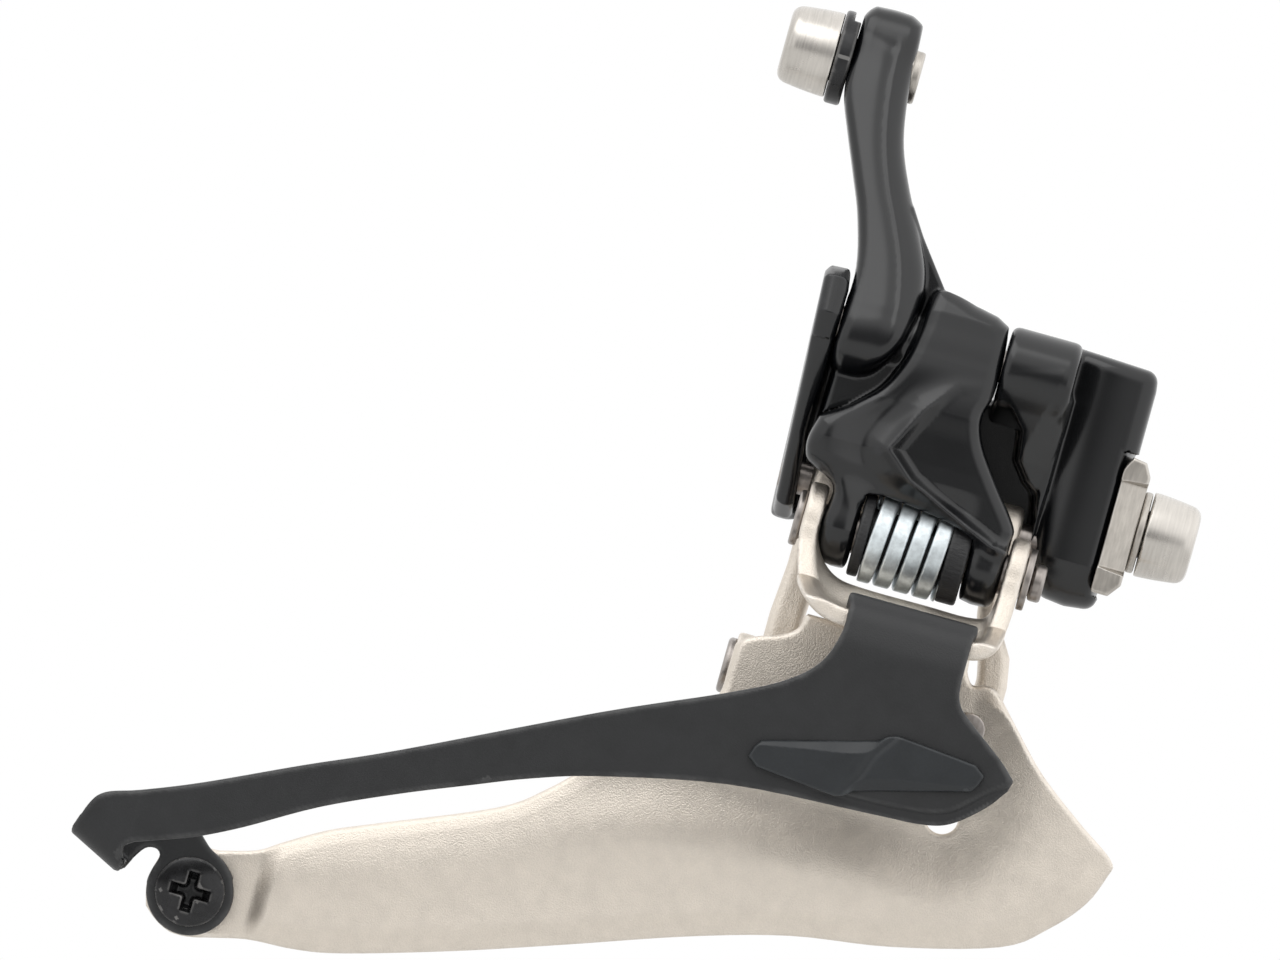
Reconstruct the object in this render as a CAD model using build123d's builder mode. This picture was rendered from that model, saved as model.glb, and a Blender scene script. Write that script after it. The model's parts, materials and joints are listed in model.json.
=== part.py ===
from build123d import *
import math
import os

# Front derailleur of a road bicycle, braze-on type, in millimetres.
# +X points forward along the fixing bolt, +Z up along the seat tube and +Y to the left of the
# bicycle, towards the frame. The origin is the crown of the body's curved mounting face.
# Two links hang a chain cage from the body. All four pivot axes run along X.

# ---------------------------------------------------------------- driving dimensions

# Four-bar linkage, seen along X: each pivot is (Y, Z), with the cage at its inner stop.
LINK_LENGTH = 19.5
LINK_LEAN = math.radians(5)
UPPER_OUTER = (-9.0, 12.0)
UPPER_INNER = (-3.1, -3.7)
DROP = (-LINK_LENGTH * math.sin(LINK_LEAN), -LINK_LENGTH * math.cos(LINK_LEAN))
LOWER_OUTER = (UPPER_OUTER[0] + DROP[0], UPPER_OUTER[1] + DROP[1])
LOWER_INNER = (UPPER_INNER[0] + DROP[0], UPPER_INNER[1] + DROP[1])

# Fits: a pin turns in its running bore, and a screw or pressed pin has its seat clearance.
RUNNING = 0.05
SEAT = 0.02

UPPER_PIN_R = 1.6
LOWER_OUTER_PIN_R = 2.0
LOWER_INNER_PIN_R = 1.5

# Body casting
BODY_NEAR, BODY_FAR = -6.0, 6.0
BODY_TOP, BODY_BOTTOM = 15.7, -8.7
FACE_X = 0.3
FACE_RADIUS = 14.0
FACE_BAND = (-7.3, 7.2)
KNUCKLE_REAR = -14.9
BLOCK_REAR = -8.3
EAR_R = 4.2
WEB_NEAR = 1.2
EAR_OUTER_TOP_X, EAR_OUTER_BOTTOM_X = -33.9, -32.8
EAR_INNER_X = -31.5
BOLT_R = 2.45
BOLT_DEPTH = 7.6

# Limit screws: the low one bears on the outer link, the high one on its cable arm.
LOW_SCREW = (-18.0, 4.0)
HIGH_SCREW = (-27.5, 10.6)
LIMIT_THREAD_R = 1.9
LIMIT_TIP_R = 1.4
LIMIT_HEAD_R = 3.2
LIMIT_HEAD_HEIGHT = 2.0
CROSS_LENGTH, CROSS_WIDTH, CROSS_DEPTH = 4.2, 0.9, 1.2
LOW_TIP_Y = -9.1
HIGH_TIP_Y = -1.7

# Outer link and cable arm
LINK_BARREL_R = 4.0
LINK_REAR, LINK_FRONT = -31.2, -15.2
LINK_BACK_Y = -9.4
SPRING_BAY = (-24.3, -13.2)
ANCHOR = (2.0, 36.9)
ANCHOR_R = 6.0
ARM_REAR, ARM_FRONT = -37.0, -31.0
CABLE_R = 0.65
CABLE_Y = ANCHOR[0] + 3.2

# Return spring
SPRING_R = 3.75
WIRE_WIDE, WIRE_DEEP = 1.7, 1.4
SPRING_PITCH = 1.95
SPRING_TURNS = 3.8
SPRING_START_X = -23.0
SPRING_POCKET_R = 4.65

# Inner link
INNER_BARREL_R = 3.2
INNER_EYE_R = 2.6
INNER_REAR, INNER_FRONT = -30.3, -6.1

# Chain cage: the outer plate is black, the inner one bulges towards the chain.
OUTER_SHEET = 1.5
INNER_SHEET = 1.8
OUTER_FACE = -23.5
INNER_FACE = -11.5
BULGE = 2.0
TAIL_FACE = -12.0
OUTER_BACK = OUTER_FACE + OUTER_SHEET
INNER_BACK = INNER_FACE + INNER_SHEET
TAIL_HOLE = (-77.3, -58.2)
TAIL_TAB_R = 4.3
TAIL_SCREW_R = 2.0
SHELF_TOP = -14.7
COLLAR = (-29.7, -7.6)
COLLAR_EAR_R = 3.8
NECK = (-23.5, -10.7)
BRIDGE_RIVETS = [(-20.5, -17.5), (-13.7, -17.5)]
BRIDGE_RIVET_R = 1.23
BRACKET_RIVET = (-8.7, -22.9)
BRACKET_RIVET_R = 1.38
LIGHT_HOLE = (-8.9, -31.8)
LIGHT_HOLE_R = 1.6
BRACKET_SHEET = 1.2
BRACKET_EAR = (-5.8, -4.3)
LOW_EAR = (-32.6, -30.8)


# ---------------------------------------------------------------- helpers

def axis_plane_x(centre):
    """Plane holding an axis along X through (Y, Z): local x along it, local y up."""
    return Plane(origin=(0, centre[0], centre[1]), x_dir=(1, 0, 0), z_dir=(0, -1, 0))


def axis_plane_y(centre):
    """Plane holding an axis along Y through (X, Z): local x along it, local y up."""
    return Plane(origin=(centre[0], 0, centre[1]), x_dir=(0, 1, 0), z_dir=(1, 0, 0))


def turned(plane, profile):
    """A turned piece: the profile lists (distance along the axis, radius)."""
    with BuildPart() as piece:
        with BuildSketch(plane):
            with BuildLine():
                Polyline(*profile, close=True)
            make_face()
        revolve(axis=Axis(plane.origin, plane.x_dir))
    return piece


def cap_bolt(centre, seat, top, end, across_flats):
    """Socket cap bolt along X, with a tapering head between seat and top."""
    way = 1 if top > seat else -1
    head = abs(top - seat)
    profile = [
        (end, 0),
        (end, BOLT_R - 0.35),
        (end + 0.4 * way, BOLT_R),
        (seat, BOLT_R),
        (seat, 4.0),
        (seat + 0.3 * way, 4.25),
        (seat + 0.8 * head * way, 3.85),
        (top - 0.25 * way, 3.55),
        (top, 3.2),
        (top, 0),
    ]
    bolt = turned(axis_plane_x(centre), profile)
    with BuildPart() as piece:
        add(bolt.part)
        with BuildSketch(Plane.YZ.offset(top)):
            with Locations(centre):
                RegularPolygon(across_flats / 2, 6, major_radius=False)
        extrude(amount=-0.62 * head * way, mode=Mode.SUBTRACT)
    return piece


def limit_screw(centre, tip_y):
    """Cheese-head screw along Y through the web, with a plain tip and a cross recess."""
    seat = BODY_FAR + 0.4
    top = seat + LIMIT_HEAD_HEIGHT
    profile = [
        (tip_y, 0),
        (tip_y, LIMIT_TIP_R - 0.3),
        (tip_y + 0.3, LIMIT_TIP_R),
        (0.6, LIMIT_TIP_R),
        (1.0, LIMIT_THREAD_R),
        (seat, LIMIT_THREAD_R),
        (seat, LIMIT_HEAD_R),
        (top - 0.4, LIMIT_HEAD_R),
        (top, LIMIT_HEAD_R - 0.4),
        (top, 0),
    ]
    blank = turned(axis_plane_y(centre), profile)
    with BuildPart() as piece:
        add(blank.part)
        with BuildSketch(Plane.XZ.offset(-top)):
            with Locations(centre):
                Rectangle(CROSS_LENGTH, CROSS_WIDTH)
                Rectangle(CROSS_WIDTH, CROSS_LENGTH)
        extrude(amount=CROSS_DEPTH, mode=Mode.SUBTRACT)
    return piece


# ---------------------------------------------------------------- body casting

SLAB = 60
EAR_OUTLINE = [
    (EAR_OUTER_TOP_X, 16.8),
    (EAR_INNER_X, 16.8),
    (EAR_INNER_X, -1.0),
    (-30.6, -5.0),
    (-30.6, -9.0),
    (EAR_OUTER_BOTTOM_X, -9.0),
]
WEB_OUTLINE = [
    (-32.4, BODY_BOTTOM + 1.2),
    (-32.6, 12.0),
    (-31.0, 13.2),
    (-24.0, 13.2),
    (-20.5, 8.6),
    (-15.0, 8.6),
    (-10.0, 12.0),
    (-4.0, 12.0),
    (-4.0, BODY_BOTTOM + 1.2),
]
BLOCK_OUTLINE = [
    (-9.2, BODY_TOP),
    (-0.5, BODY_TOP),
    (FACE_X, 14.9),
    (FACE_X, -7.9),
    (-0.5, BODY_BOTTOM),
    (-5.6, BODY_BOTTOM),
    (-7.0, -6.6),
    (BLOCK_REAR, -4.0),
    (BLOCK_REAR, 1.0),
    (-9.2, 2.4),
]
GUSSET_OUTLINE = [
    (-9.0, BODY_TOP - 1),
    (-9.0, 1.8),
    (-11.0, 3.3),
    (-12.1, 7.6),
    (-14.6, 9.2),
    (-14.6, 12.0),
]

with BuildPart() as body:
    # Rear ear: a flat lug that holds the far ends of both upper pins.
    with BuildSketch(Plane.XZ):
        with BuildLine():
            Polyline(*EAR_OUTLINE, close=True)
        make_face()
    extrude(amount=20, both=True)
    with BuildSketch(Plane.YZ.offset(-SLAB)):
        with Locations(UPPER_OUTER, UPPER_INNER):
            Circle(EAR_R)
        make_hull()
        with BuildLine():
            Polyline(
                (-6.6, 14.6),
                (WEB_NEAR, 12.4),
                (BODY_FAR, 10.8),
                (BODY_FAR, -6.0),
                (2.0, -7.8),
                (-3.0, -7.6),
                close=True,
            )
        make_face()
    extrude(amount=2 * SLAB, mode=Mode.INTERSECT)
    # Web along the far side, which joins the rear ear to the front block.
    with BuildSketch(Plane.XZ.offset(-BODY_FAR)):
        with BuildLine():
            Polyline(*WEB_OUTLINE, close=True)
        make_face()
    extrude(amount=BODY_FAR - WEB_NEAR)
    # Front block behind the mounting face, and the gusset that carries the knuckle.
    with BuildSketch(Plane.XZ.offset(-BODY_FAR)):
        with BuildLine():
            Polyline(*BLOCK_OUTLINE, close=True)
        make_face()
    extrude(amount=BODY_FAR - BODY_NEAR)
    with BuildSketch(Plane.XZ.offset(-BODY_FAR)):
        with BuildLine():
            Polyline(*GUSSET_OUTLINE, close=True)
        make_face()
    extrude(amount=BODY_FAR + 4.0)
    # Knuckle around the front end of the upper outer pin.
    with BuildSketch(Plane.YZ.offset(KNUCKLE_REAR)):
        with Locations(UPPER_OUTER, (0.5, 10.5)):
            Circle(LINK_BARREL_R + 0.1)
        make_hull()
    extrude(amount=-KNUCKLE_REAR - 7.6)
    # Curved mounting face: a shallow band across the front, convex about Z.
    with BuildSketch(Plane.XY.offset(FACE_BAND[0])):
        Rectangle(5, 20)
        with Locations((-FACE_RADIUS, 0)):
            Circle(FACE_RADIUS, mode=Mode.SUBTRACT)
    extrude(amount=FACE_BAND[1] - FACE_BAND[0], mode=Mode.SUBTRACT)
    # Bores: two blind pin bores, the tapped hole for the fixing bolt, two limit screws.
    with BuildSketch(Plane.YZ.offset(-40)):
        with Locations(UPPER_OUTER):
            Circle(UPPER_PIN_R + SEAT)
    extrude(amount=40 - 9.2, mode=Mode.SUBTRACT)
    with BuildSketch(Plane.YZ.offset(-40)):
        with Locations(UPPER_INNER):
            Circle(UPPER_PIN_R + SEAT)
    extrude(amount=40 - 3.0, mode=Mode.SUBTRACT)
    with BuildSketch(Plane.YZ.offset(FACE_X)):
        Circle(BOLT_R + RUNNING)
    extrude(amount=-BOLT_DEPTH - FACE_X, mode=Mode.SUBTRACT)
    with BuildSketch(Plane.XZ.offset(-BODY_FAR - 1)):
        with Locations(LOW_SCREW, HIGH_SCREW):
            Circle(LIMIT_THREAD_R + RUNNING)
    extrude(amount=8, mode=Mode.SUBTRACT)

upper_outer_pin = turned(
    axis_plane_x(UPPER_OUTER),
    [(-33.6, 0), (-33.6, 1.3), (-33.3, UPPER_PIN_R), (-9.6, UPPER_PIN_R), (-9.3, 1.3), (-9.3, 0)],
)
upper_inner_pin = turned(
    axis_plane_x(UPPER_INNER),
    [(-33.0, 0), (-33.0, 1.3), (-32.7, UPPER_PIN_R), (-3.4, UPPER_PIN_R), (-3.1, 1.3), (-3.1, 0)],
)
low_limit_screw = limit_screw(LOW_SCREW, LOW_TIP_Y)
high_limit_screw = limit_screw(HIGH_SCREW, HIGH_TIP_Y)

# ---------------------------------------------------------------- fixing bolt and washers

RADIUS_WASHER_FRONT = 1.9
fixing_bolt = cap_bolt((0, 0), 3.3, 7.8, -7.2, 4.0)
fixing_washer = turned(
    axis_plane_x((0, 0)),
    [(1.95, 2.7), (1.95, 3.9), (2.1, 4.05), (2.55, 4.05), (2.7, 3.9), (2.7, 2.7)],
)

with BuildPart() as radius_washer:
    # A block whose rear face is concave about Z, to grip the curved hanger.
    with BuildSketch(Plane.XY.offset(-6.8)):
        with Locations((-0.05, 0)):
            Rectangle(2 * RADIUS_WASHER_FRONT + 0.1, 12)
        with Locations((-FACE_RADIUS - 0.7, 0)):
            Circle(FACE_RADIUS + 1.0, mode=Mode.SUBTRACT)
    extrude(amount=13.7)
    # Each side is scooped between an upper and a lower lug.
    with BuildSketch(Plane.YZ.offset(-3)):
        with BuildLine():
            Polyline((-6.5, 5.6), (-4.9, 4.2), (-4.9, -4.0), (-6.5, -5.4), close=True)
        make_face()
        mirror(about=Plane.YZ)
    extrude(amount=6, mode=Mode.SUBTRACT)
    with BuildSketch(Plane.YZ.offset(-3)):
        Circle(2.7)
    extrude(amount=8, mode=Mode.SUBTRACT)

# ---------------------------------------------------------------- outer link with cable arm

LINK_OUTLINE = [
    (-23.1, 17.8),
    (-19.0, 17.0),
    (LINK_FRONT, 15.8),
    (LINK_FRONT, 5.2),
    (-9.6, -3.1),
    (-9.8, -12.0),
    (-27.7, -12.0),
    (-27.7, -3.2),
    (LINK_REAR, -1.2),
    (LINK_REAR, 2.4),
    (-25.2, 6.8),
    (-23.9, 12.0),
]
ARM_OUTLINE_REAR = [(ARM_REAR, 33.5), (-35.4, 29.8), (-32.3, 22.4), (LINK_REAR, 16.0)]
ARM_OUTLINE_FRONT = [(-24.1, 15.5), (-27.7, 25.3), (-30.4, 32.6), (ARM_FRONT, 37.0)]
ARM_SLOPE = Vector(ANCHOR[0] - UPPER_OUTER[0], ANCHOR[1] - UPPER_OUTER[1]).normalized()
ARM_HALF_LOW, ARM_HALF_HIGH = 3.4, 4.2


def beside(centre, distance):
    """A point beside an arm station, square to the arm in the YZ plane."""
    return (centre[0] + ARM_SLOPE.Y * distance, centre[1] - ARM_SLOPE.X * distance)


with BuildPart() as arm:
    with BuildSketch(Plane.XZ):
        with BuildLine():
            Spline(*ARM_OUTLINE_REAR, tangents=((0, -1), (0, -1)))
            Line(ARM_OUTLINE_REAR[-1], (LINK_REAR, 8.4))
            Line((LINK_REAR, 8.4), (-25.5, 8.4))
            Line((-25.5, 8.4), ARM_OUTLINE_FRONT[0])
            Spline(*ARM_OUTLINE_FRONT)
            Polyline(
                ARM_OUTLINE_FRONT[-1],
                (ARM_FRONT, 41.6),
                (-32.3, 42.9),
                (-35.7, 42.9),
                (ARM_REAR, 41.6),
                ARM_OUTLINE_REAR[0],
            )
        make_face()
    extrude(amount=20, both=True)
    with BuildSketch(Plane.YZ.offset(-SLAB)):
        with BuildLine():
            Polyline(
                beside(UPPER_OUTER, -ARM_HALF_LOW),
                beside(ANCHOR, -ARM_HALF_HIGH),
                beside(ANCHOR, ARM_HALF_HIGH),
                beside(UPPER_OUTER, ARM_HALF_LOW),
                close=True,
            )
        make_face()
        with Locations(UPPER_OUTER):
            Circle(LINK_BARREL_R)
        with Locations(ANCHOR):
            Circle(ANCHOR_R)
    extrude(amount=2 * SLAB, mode=Mode.INTERSECT)

with BuildPart() as outer_link:
    with BuildSketch(Plane.XZ):
        with BuildLine():
            Polyline(*LINK_OUTLINE, close=True)
        make_face()
        # The bay for the return spring is open below.
        with BuildLine():
            Polyline(
                (SPRING_BAY[0], -3.9),
                (SPRING_BAY[1], -5.4),
                (SPRING_BAY[1], -13.0),
                (SPRING_BAY[0], -13.0),
                close=True,
            )
        make_face(mode=Mode.SUBTRACT)
    extrude(amount=20, both=True)
    with BuildSketch(Plane.YZ.offset(-SLAB)):
        with BuildLine():
            Polyline(
                (-11.5, 17.8),
                (-13.0, 12.0),
                (-14.4, 6.0),
                (-14.9, 0.0),
                (LOWER_OUTER[0] - LINK_BARREL_R, LOWER_OUTER[1]),
                (LOWER_OUTER[0], LOWER_OUTER[1]),
                (LINK_BACK_Y, -4.2),
                (LINK_BACK_Y, 7.0),
                (-5.4, 10.5),
                (-7.0, 17.8),
                close=True,
            )
        make_face()
        with Locations(UPPER_OUTER, LOWER_OUTER):
            Circle(LINK_BARREL_R)
    extrude(amount=2 * SLAB, mode=Mode.INTERSECT)
    # Barrel of the upper pivot, across the full width, and the cable arm above it.
    with BuildSketch(Plane.YZ.offset(LINK_REAR)):
        with Locations(UPPER_OUTER):
            Circle(LINK_BARREL_R)
    extrude(amount=LINK_FRONT - LINK_REAR)
    add(arm.part)
    # Pivot bores.
    with BuildSketch(Plane.YZ.offset(-45)):
        with Locations(UPPER_OUTER):
            Circle(UPPER_PIN_R + RUNNING)
        with Locations(LOWER_OUTER):
            Circle(LOWER_OUTER_PIN_R + RUNNING)
    extrude(amount=45, mode=Mode.SUBTRACT)
    # Pocket around the spring, behind a thin lip.
    with BuildSketch(Plane.YZ.offset(SPRING_BAY[0])):
        with Locations(LOWER_OUTER):
            Circle(SPRING_POCKET_R)
    extrude(amount=SPRING_BAY[1] - SPRING_BAY[0], mode=Mode.SUBTRACT)
    # Stepped bore for the threaded insert, and the half-round cable groove beside it.
    with BuildSketch(Plane.YZ.offset(-45)):
        with Locations(ANCHOR):
            Circle(BOLT_R + RUNNING)
    extrude(amount=45, mode=Mode.SUBTRACT)
    with BuildSketch(Plane.YZ.offset(-35.4)):
        with Locations(ANCHOR):
            Circle(3.4 + SEAT)
    extrude(amount=20, mode=Mode.SUBTRACT)
    with BuildSketch(Plane.XY.offset(ANCHOR[1] - 8)):
        with Locations((ARM_REAR, CABLE_Y)):
            Circle(CABLE_R)
    extrude(amount=16, mode=Mode.SUBTRACT)

cable_insert = turned(
    axis_plane_x(ANCHOR),
    [(-35.4, 2.5), (-35.4, 3.4), (-31.0, 3.4), (-31.0, 2.9), (-30.3, 2.9), (-30.1, 2.7), (-30.1, 2.5)],
)
cable_bolt = cap_bolt(ANCHOR, -38.9, -43.7, -30.4, 4.0)

WASHER_REAR = -38.6
with BuildPart() as cable_washer:
    with BuildSketch(Plane.YZ.offset(WASHER_REAR)):
        with Locations(ANCHOR):
            Circle(4.65)
            Circle(2.6, mode=Mode.SUBTRACT)
    extrude(amount=ARM_REAR - WASHER_REAR)
    with BuildSketch(Plane.XY.offset(ANCHOR[1] - 8)):
        with Locations((ARM_REAR, CABLE_Y)):
            Circle(CABLE_R)
    extrude(amount=16, mode=Mode.SUBTRACT)

# ---------------------------------------------------------------- return spring and sleeve

# The coil starts on the far side, towards the frame, so that four turns cross the near side.
spring_start = Plane(origin=(SPRING_START_X, *LOWER_OUTER), x_dir=(0, 1, 0), z_dir=(1, 0, 0))
coil = spring_start.location * Helix(SPRING_PITCH, SPRING_PITCH * SPRING_TURNS, SPRING_R)
with BuildPart() as return_spring:
    with BuildSketch(Plane(origin=coil @ 0, x_dir=(1, 0, 0), z_dir=coil % 0)):
        Rectangle(WIRE_WIDE, WIRE_DEEP)
    sweep(path=coil, is_frenet=True)

SLEEVE_BORE = LOWER_OUTER_PIN_R + RUNNING
spring_sleeve = turned(
    axis_plane_x(LOWER_OUTER),
    [
        (SPRING_BAY[0] + 0.05, SLEEVE_BORE),
        (SPRING_BAY[0] + 0.05, 4.1),
        (SPRING_BAY[0] + 0.3, 4.1),
        (SPRING_BAY[0] + 0.3, 2.8),
        (-14.6, 2.8),
        (-14.6, 4.3),
        (SPRING_BAY[1] - 0.05, 4.3),
        (SPRING_BAY[1] - 0.05, SLEEVE_BORE),
    ],
)

# ---------------------------------------------------------------- inner link

with BuildPart() as inner_link:
    with BuildSketch(Plane.YZ.offset(INNER_REAR)):
        with BuildLine():
            Polyline(
                (UPPER_INNER[0] - 1.7, UPPER_INNER[1]),
                (UPPER_INNER[0] + 1.7, UPPER_INNER[1]),
                (LOWER_INNER[0] + 1.5, LOWER_INNER[1]),
                (LOWER_INNER[0] - 1.5, LOWER_INNER[1]),
                close=True,
            )
        make_face()
        with Locations(UPPER_INNER):
            Circle(INNER_BARREL_R)
        with Locations(LOWER_INNER):
            Circle(INNER_EYE_R)
    extrude(amount=INNER_FRONT - INNER_REAR)
    with BuildSketch(Plane.XZ):
        with BuildLine():
            Polyline(
                (-29.9, 0.0),
                (-8.9, 0.0),
                (-8.9, -10.0),
                (-7.5, -13.8),
                (INNER_FRONT, -16.4),
                (INNER_FRONT, -28.0),
                (INNER_REAR, -28.0),
                (INNER_REAR, -19.0),
                (-29.9, -12.0),
                close=True,
            )
        make_face()
        # Window between the two legs.
        with BuildLine():
            Polyline(
                (-26.4, -7.6),
                (-11.8, -7.6),
                (-11.0, -12.0),
                (-9.4, -16.4),
                (-9.4, -20.0),
                (-26.8, -20.0),
                close=True,
            )
        make_face(mode=Mode.SUBTRACT)
    extrude(amount=20, both=True, mode=Mode.INTERSECT)
    with BuildSketch(Plane.YZ.offset(-40)):
        with Locations(UPPER_INNER):
            Circle(UPPER_PIN_R + RUNNING)
        with Locations(LOWER_INNER):
            Circle(LOWER_INNER_PIN_R + 2 * RUNNING)
    extrude(amount=40, mode=Mode.SUBTRACT)

# ---------------------------------------------------------------- inner cage plate

PANEL_TOP_EDGE = [(-75.6, -53.6), (-69.9, -51.2), (-61.4, -46.9), (-50.8, -42.4), (-44.7, -37.3)]
PANEL_BOTTOM_EDGE = [
    (8.4, -31.9),
    (6.0, -37.0),
    (-0.2, -42.3),
    (-12.7, -45.6),
    (-27.2, -48.8),
    (-44.0, -54.6),
    (-61.3, -60.0),
    (-75.2, -62.4),
]
LOBE_EDGE = [(-7.4, -18.5), (-4.3, -21.4), (1.8, -27.5), (8.4, -31.9)]
STEP_TOP, STEP_BOTTOM = -35.5, -39.0

with BuildPart() as inner_plate:
    # The panel's section along X: flat above, bulged towards the chain below the step.
    with BuildSketch(Plane.YZ.offset(-69.2)):
        with BuildLine():
            Polyline(
                (INNER_FACE, -15.0),
                (INNER_FACE, STEP_TOP),
                (INNER_FACE - BULGE, STEP_BOTTOM),
                (INNER_FACE - BULGE, -64),
                (INNER_BACK - BULGE, -64),
                (INNER_BACK - BULGE, STEP_BOTTOM - 0.5),
                (INNER_BACK, STEP_TOP - 0.5),
                (INNER_BACK, -15.0),
                close=True,
            )
        make_face()
    extrude(amount=80)
    # The tail steps back towards the frame, to take the outer plate's tab.
    with BuildSketch(Plane.XY.offset(-64)):
        with BuildLine():
            Polyline(
                (-67.5, INNER_FACE - BULGE),
                (-69.4, INNER_FACE - BULGE),
                (-72.0, TAIL_FACE),
                (-84.0, TAIL_FACE),
                (-84.0, TAIL_FACE + INNER_SHEET),
                (-71.4, TAIL_FACE + INNER_SHEET),
                (-68.8, INNER_BACK - BULGE),
                (-67.5, INNER_BACK - BULGE),
                close=True,
            )
        make_face()
    extrude(amount=20)
    with BuildSketch(Plane.XZ):
        with BuildLine():
            Spline(*PANEL_TOP_EDGE)
            Polyline(
                PANEL_TOP_EDGE[-1],
                (-32.6, -25.8),
                (-32.6, -20.5),
                (-28.6, -18.8),
                (-27.1, -17.0),
                (-27.1, -16.0),
                (-10.4, -16.0),
                (-10.4, -18.2),
                LOBE_EDGE[0],
            )
            Spline(*LOBE_EDGE)
            Spline(*PANEL_BOTTOM_EDGE)
            Polyline(PANEL_BOTTOM_EDGE[-1], (-78.0, -62.4), (-78.0, -53.6), PANEL_TOP_EDGE[0])
        make_face()
        with Locations(TAIL_HOLE):
            Circle(TAIL_TAB_R + 0.1)
            Circle(TAIL_SCREW_R + 0.1, mode=Mode.SUBTRACT)
        # Lightening hole just below the outer plate, and the rivet hole in the lobe.
        with Locations(LIGHT_HOLE):
            Circle(LIGHT_HOLE_R, mode=Mode.SUBTRACT)
        with Locations(BRACKET_RIVET):
            Circle(BRACKET_RIVET_R + SEAT, mode=Mode.SUBTRACT)
    extrude(amount=40, both=True, mode=Mode.INTERSECT)
    # Ear of the lower inner pivot, folded towards the frame.
    with BuildSketch(Plane.YZ.offset(LOW_EAR[0])):
        with Locations(LOWER_INNER):
            Circle(3.4)
        with BuildLine():
            Polyline(
                (INNER_BACK - 0.5, -20.9),
                (LOWER_INNER[0], LOWER_INNER[1] + 3.4),
                (LOWER_INNER[0], LOWER_INNER[1] - 3.4),
                (INNER_BACK - 0.5, -25.8),
                close=True,
            )
        make_face()
    extrude(amount=LOW_EAR[1] - LOW_EAR[0])

with BuildPart() as collar:
    # U-shaped collar folded towards the outer plate: two ears and the shelf between them.
    with BuildSketch(Plane.XZ.offset(-INNER_BACK)):
        with BuildLine():
            Polyline(
                (COLLAR[0], -2.0),
                (COLLAR[0], -11.0),
                (-26.3, SHELF_TOP - INNER_SHEET),
                (-9.8, SHELF_TOP - INNER_SHEET),
                (COLLAR[1], -13.6),
                (COLLAR[1], -2.0),
                (COLLAR[1] - INNER_SHEET, -2.0),
                (COLLAR[1] - INNER_SHEET, -13.0),
                (-10.5, SHELF_TOP),
                (-25.6, SHELF_TOP),
                (COLLAR[0] + INNER_SHEET, -11.4),
                (COLLAR[0] + INNER_SHEET, -2.0),
                close=True,
            )
        make_face()
    extrude(amount=INNER_BACK - OUTER_BACK - 0.1)
    with BuildSketch(Plane.YZ.offset(-SLAB)):
        with Locations(LOWER_OUTER):
            Circle(COLLAR_EAR_R)
        with BuildLine():
            Polyline(
                (LOWER_OUTER[0] - 3.7, -8.3),
                (-16.5, -12.6),
                (OUTER_BACK + 0.1, -14.6),
                (OUTER_BACK + 0.1, -18.0),
                (INNER_BACK, -18.0),
                (INNER_BACK, -12.6),
                (LOWER_OUTER[0] + 3.7, -8.3),
                close=True,
            )
        make_face()
    extrude(amount=2 * SLAB, mode=Mode.INTERSECT)

with BuildPart() as inner_cage:
    add(inner_plate.part)
    add(collar.part)
    with BuildSketch(Plane.YZ.offset(-45)):
        with Locations(LOWER_OUTER):
            Circle(LOWER_OUTER_PIN_R + SEAT)
        with Locations(LOWER_INNER):
            Circle(LOWER_INNER_PIN_R + SEAT)
    extrude(amount=45, mode=Mode.SUBTRACT)
    with BuildSketch(Plane.XY.offset(-20)):
        with Locations(*BRIDGE_RIVETS):
            Circle(BRIDGE_RIVET_R + SEAT)
    extrude(amount=6, mode=Mode.SUBTRACT)

# ---------------------------------------------------------------- outer cage plate

PLATE_TOP_EDGE = [
    (-23.6, -19.0),
    (-27.3, -23.0),
    (-36.5, -27.4),
    (-52.5, -34.9),
    (-69.9, -43.3),
    (-87.0, -50.7),
]
PLATE_BOTTOM_EDGE = [
    (-82.6, -54.5),
    (-77.7, -52.8),
    (-67.3, -46.8),
    (-53.9, -40.9),
    (-42.0, -36.7),
    (-29.6, -34.1),
    (-15.7, -33.2),
    (-9.5, -32.6),
    (-5.3, -29.8),
]
FOLD = ((-90.0, -55.8), (-84.6, -58.2))
PAD_OUTLINE = [
    (-28.7, -30.0),
    (-27.5, -28.9),
    (-16.7, -26.1),
    (-14.7, -25.1),
    (-8.1, -26.2),
    (-6.2, -26.7),
    (-7.5, -28.5),
    (-18.6, -31.9),
    (-23.0, -32.4),
    (-27.9, -31.0),
]
PAD_SLOT = (-17.5, -29.0)

FOLD_WAY = (Vector(*FOLD[1]) - Vector(*FOLD[0])).normalized()
FOLD_IN = Vector(-FOLD_WAY.Y, FOLD_WAY.X) * OUTER_SHEET

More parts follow.
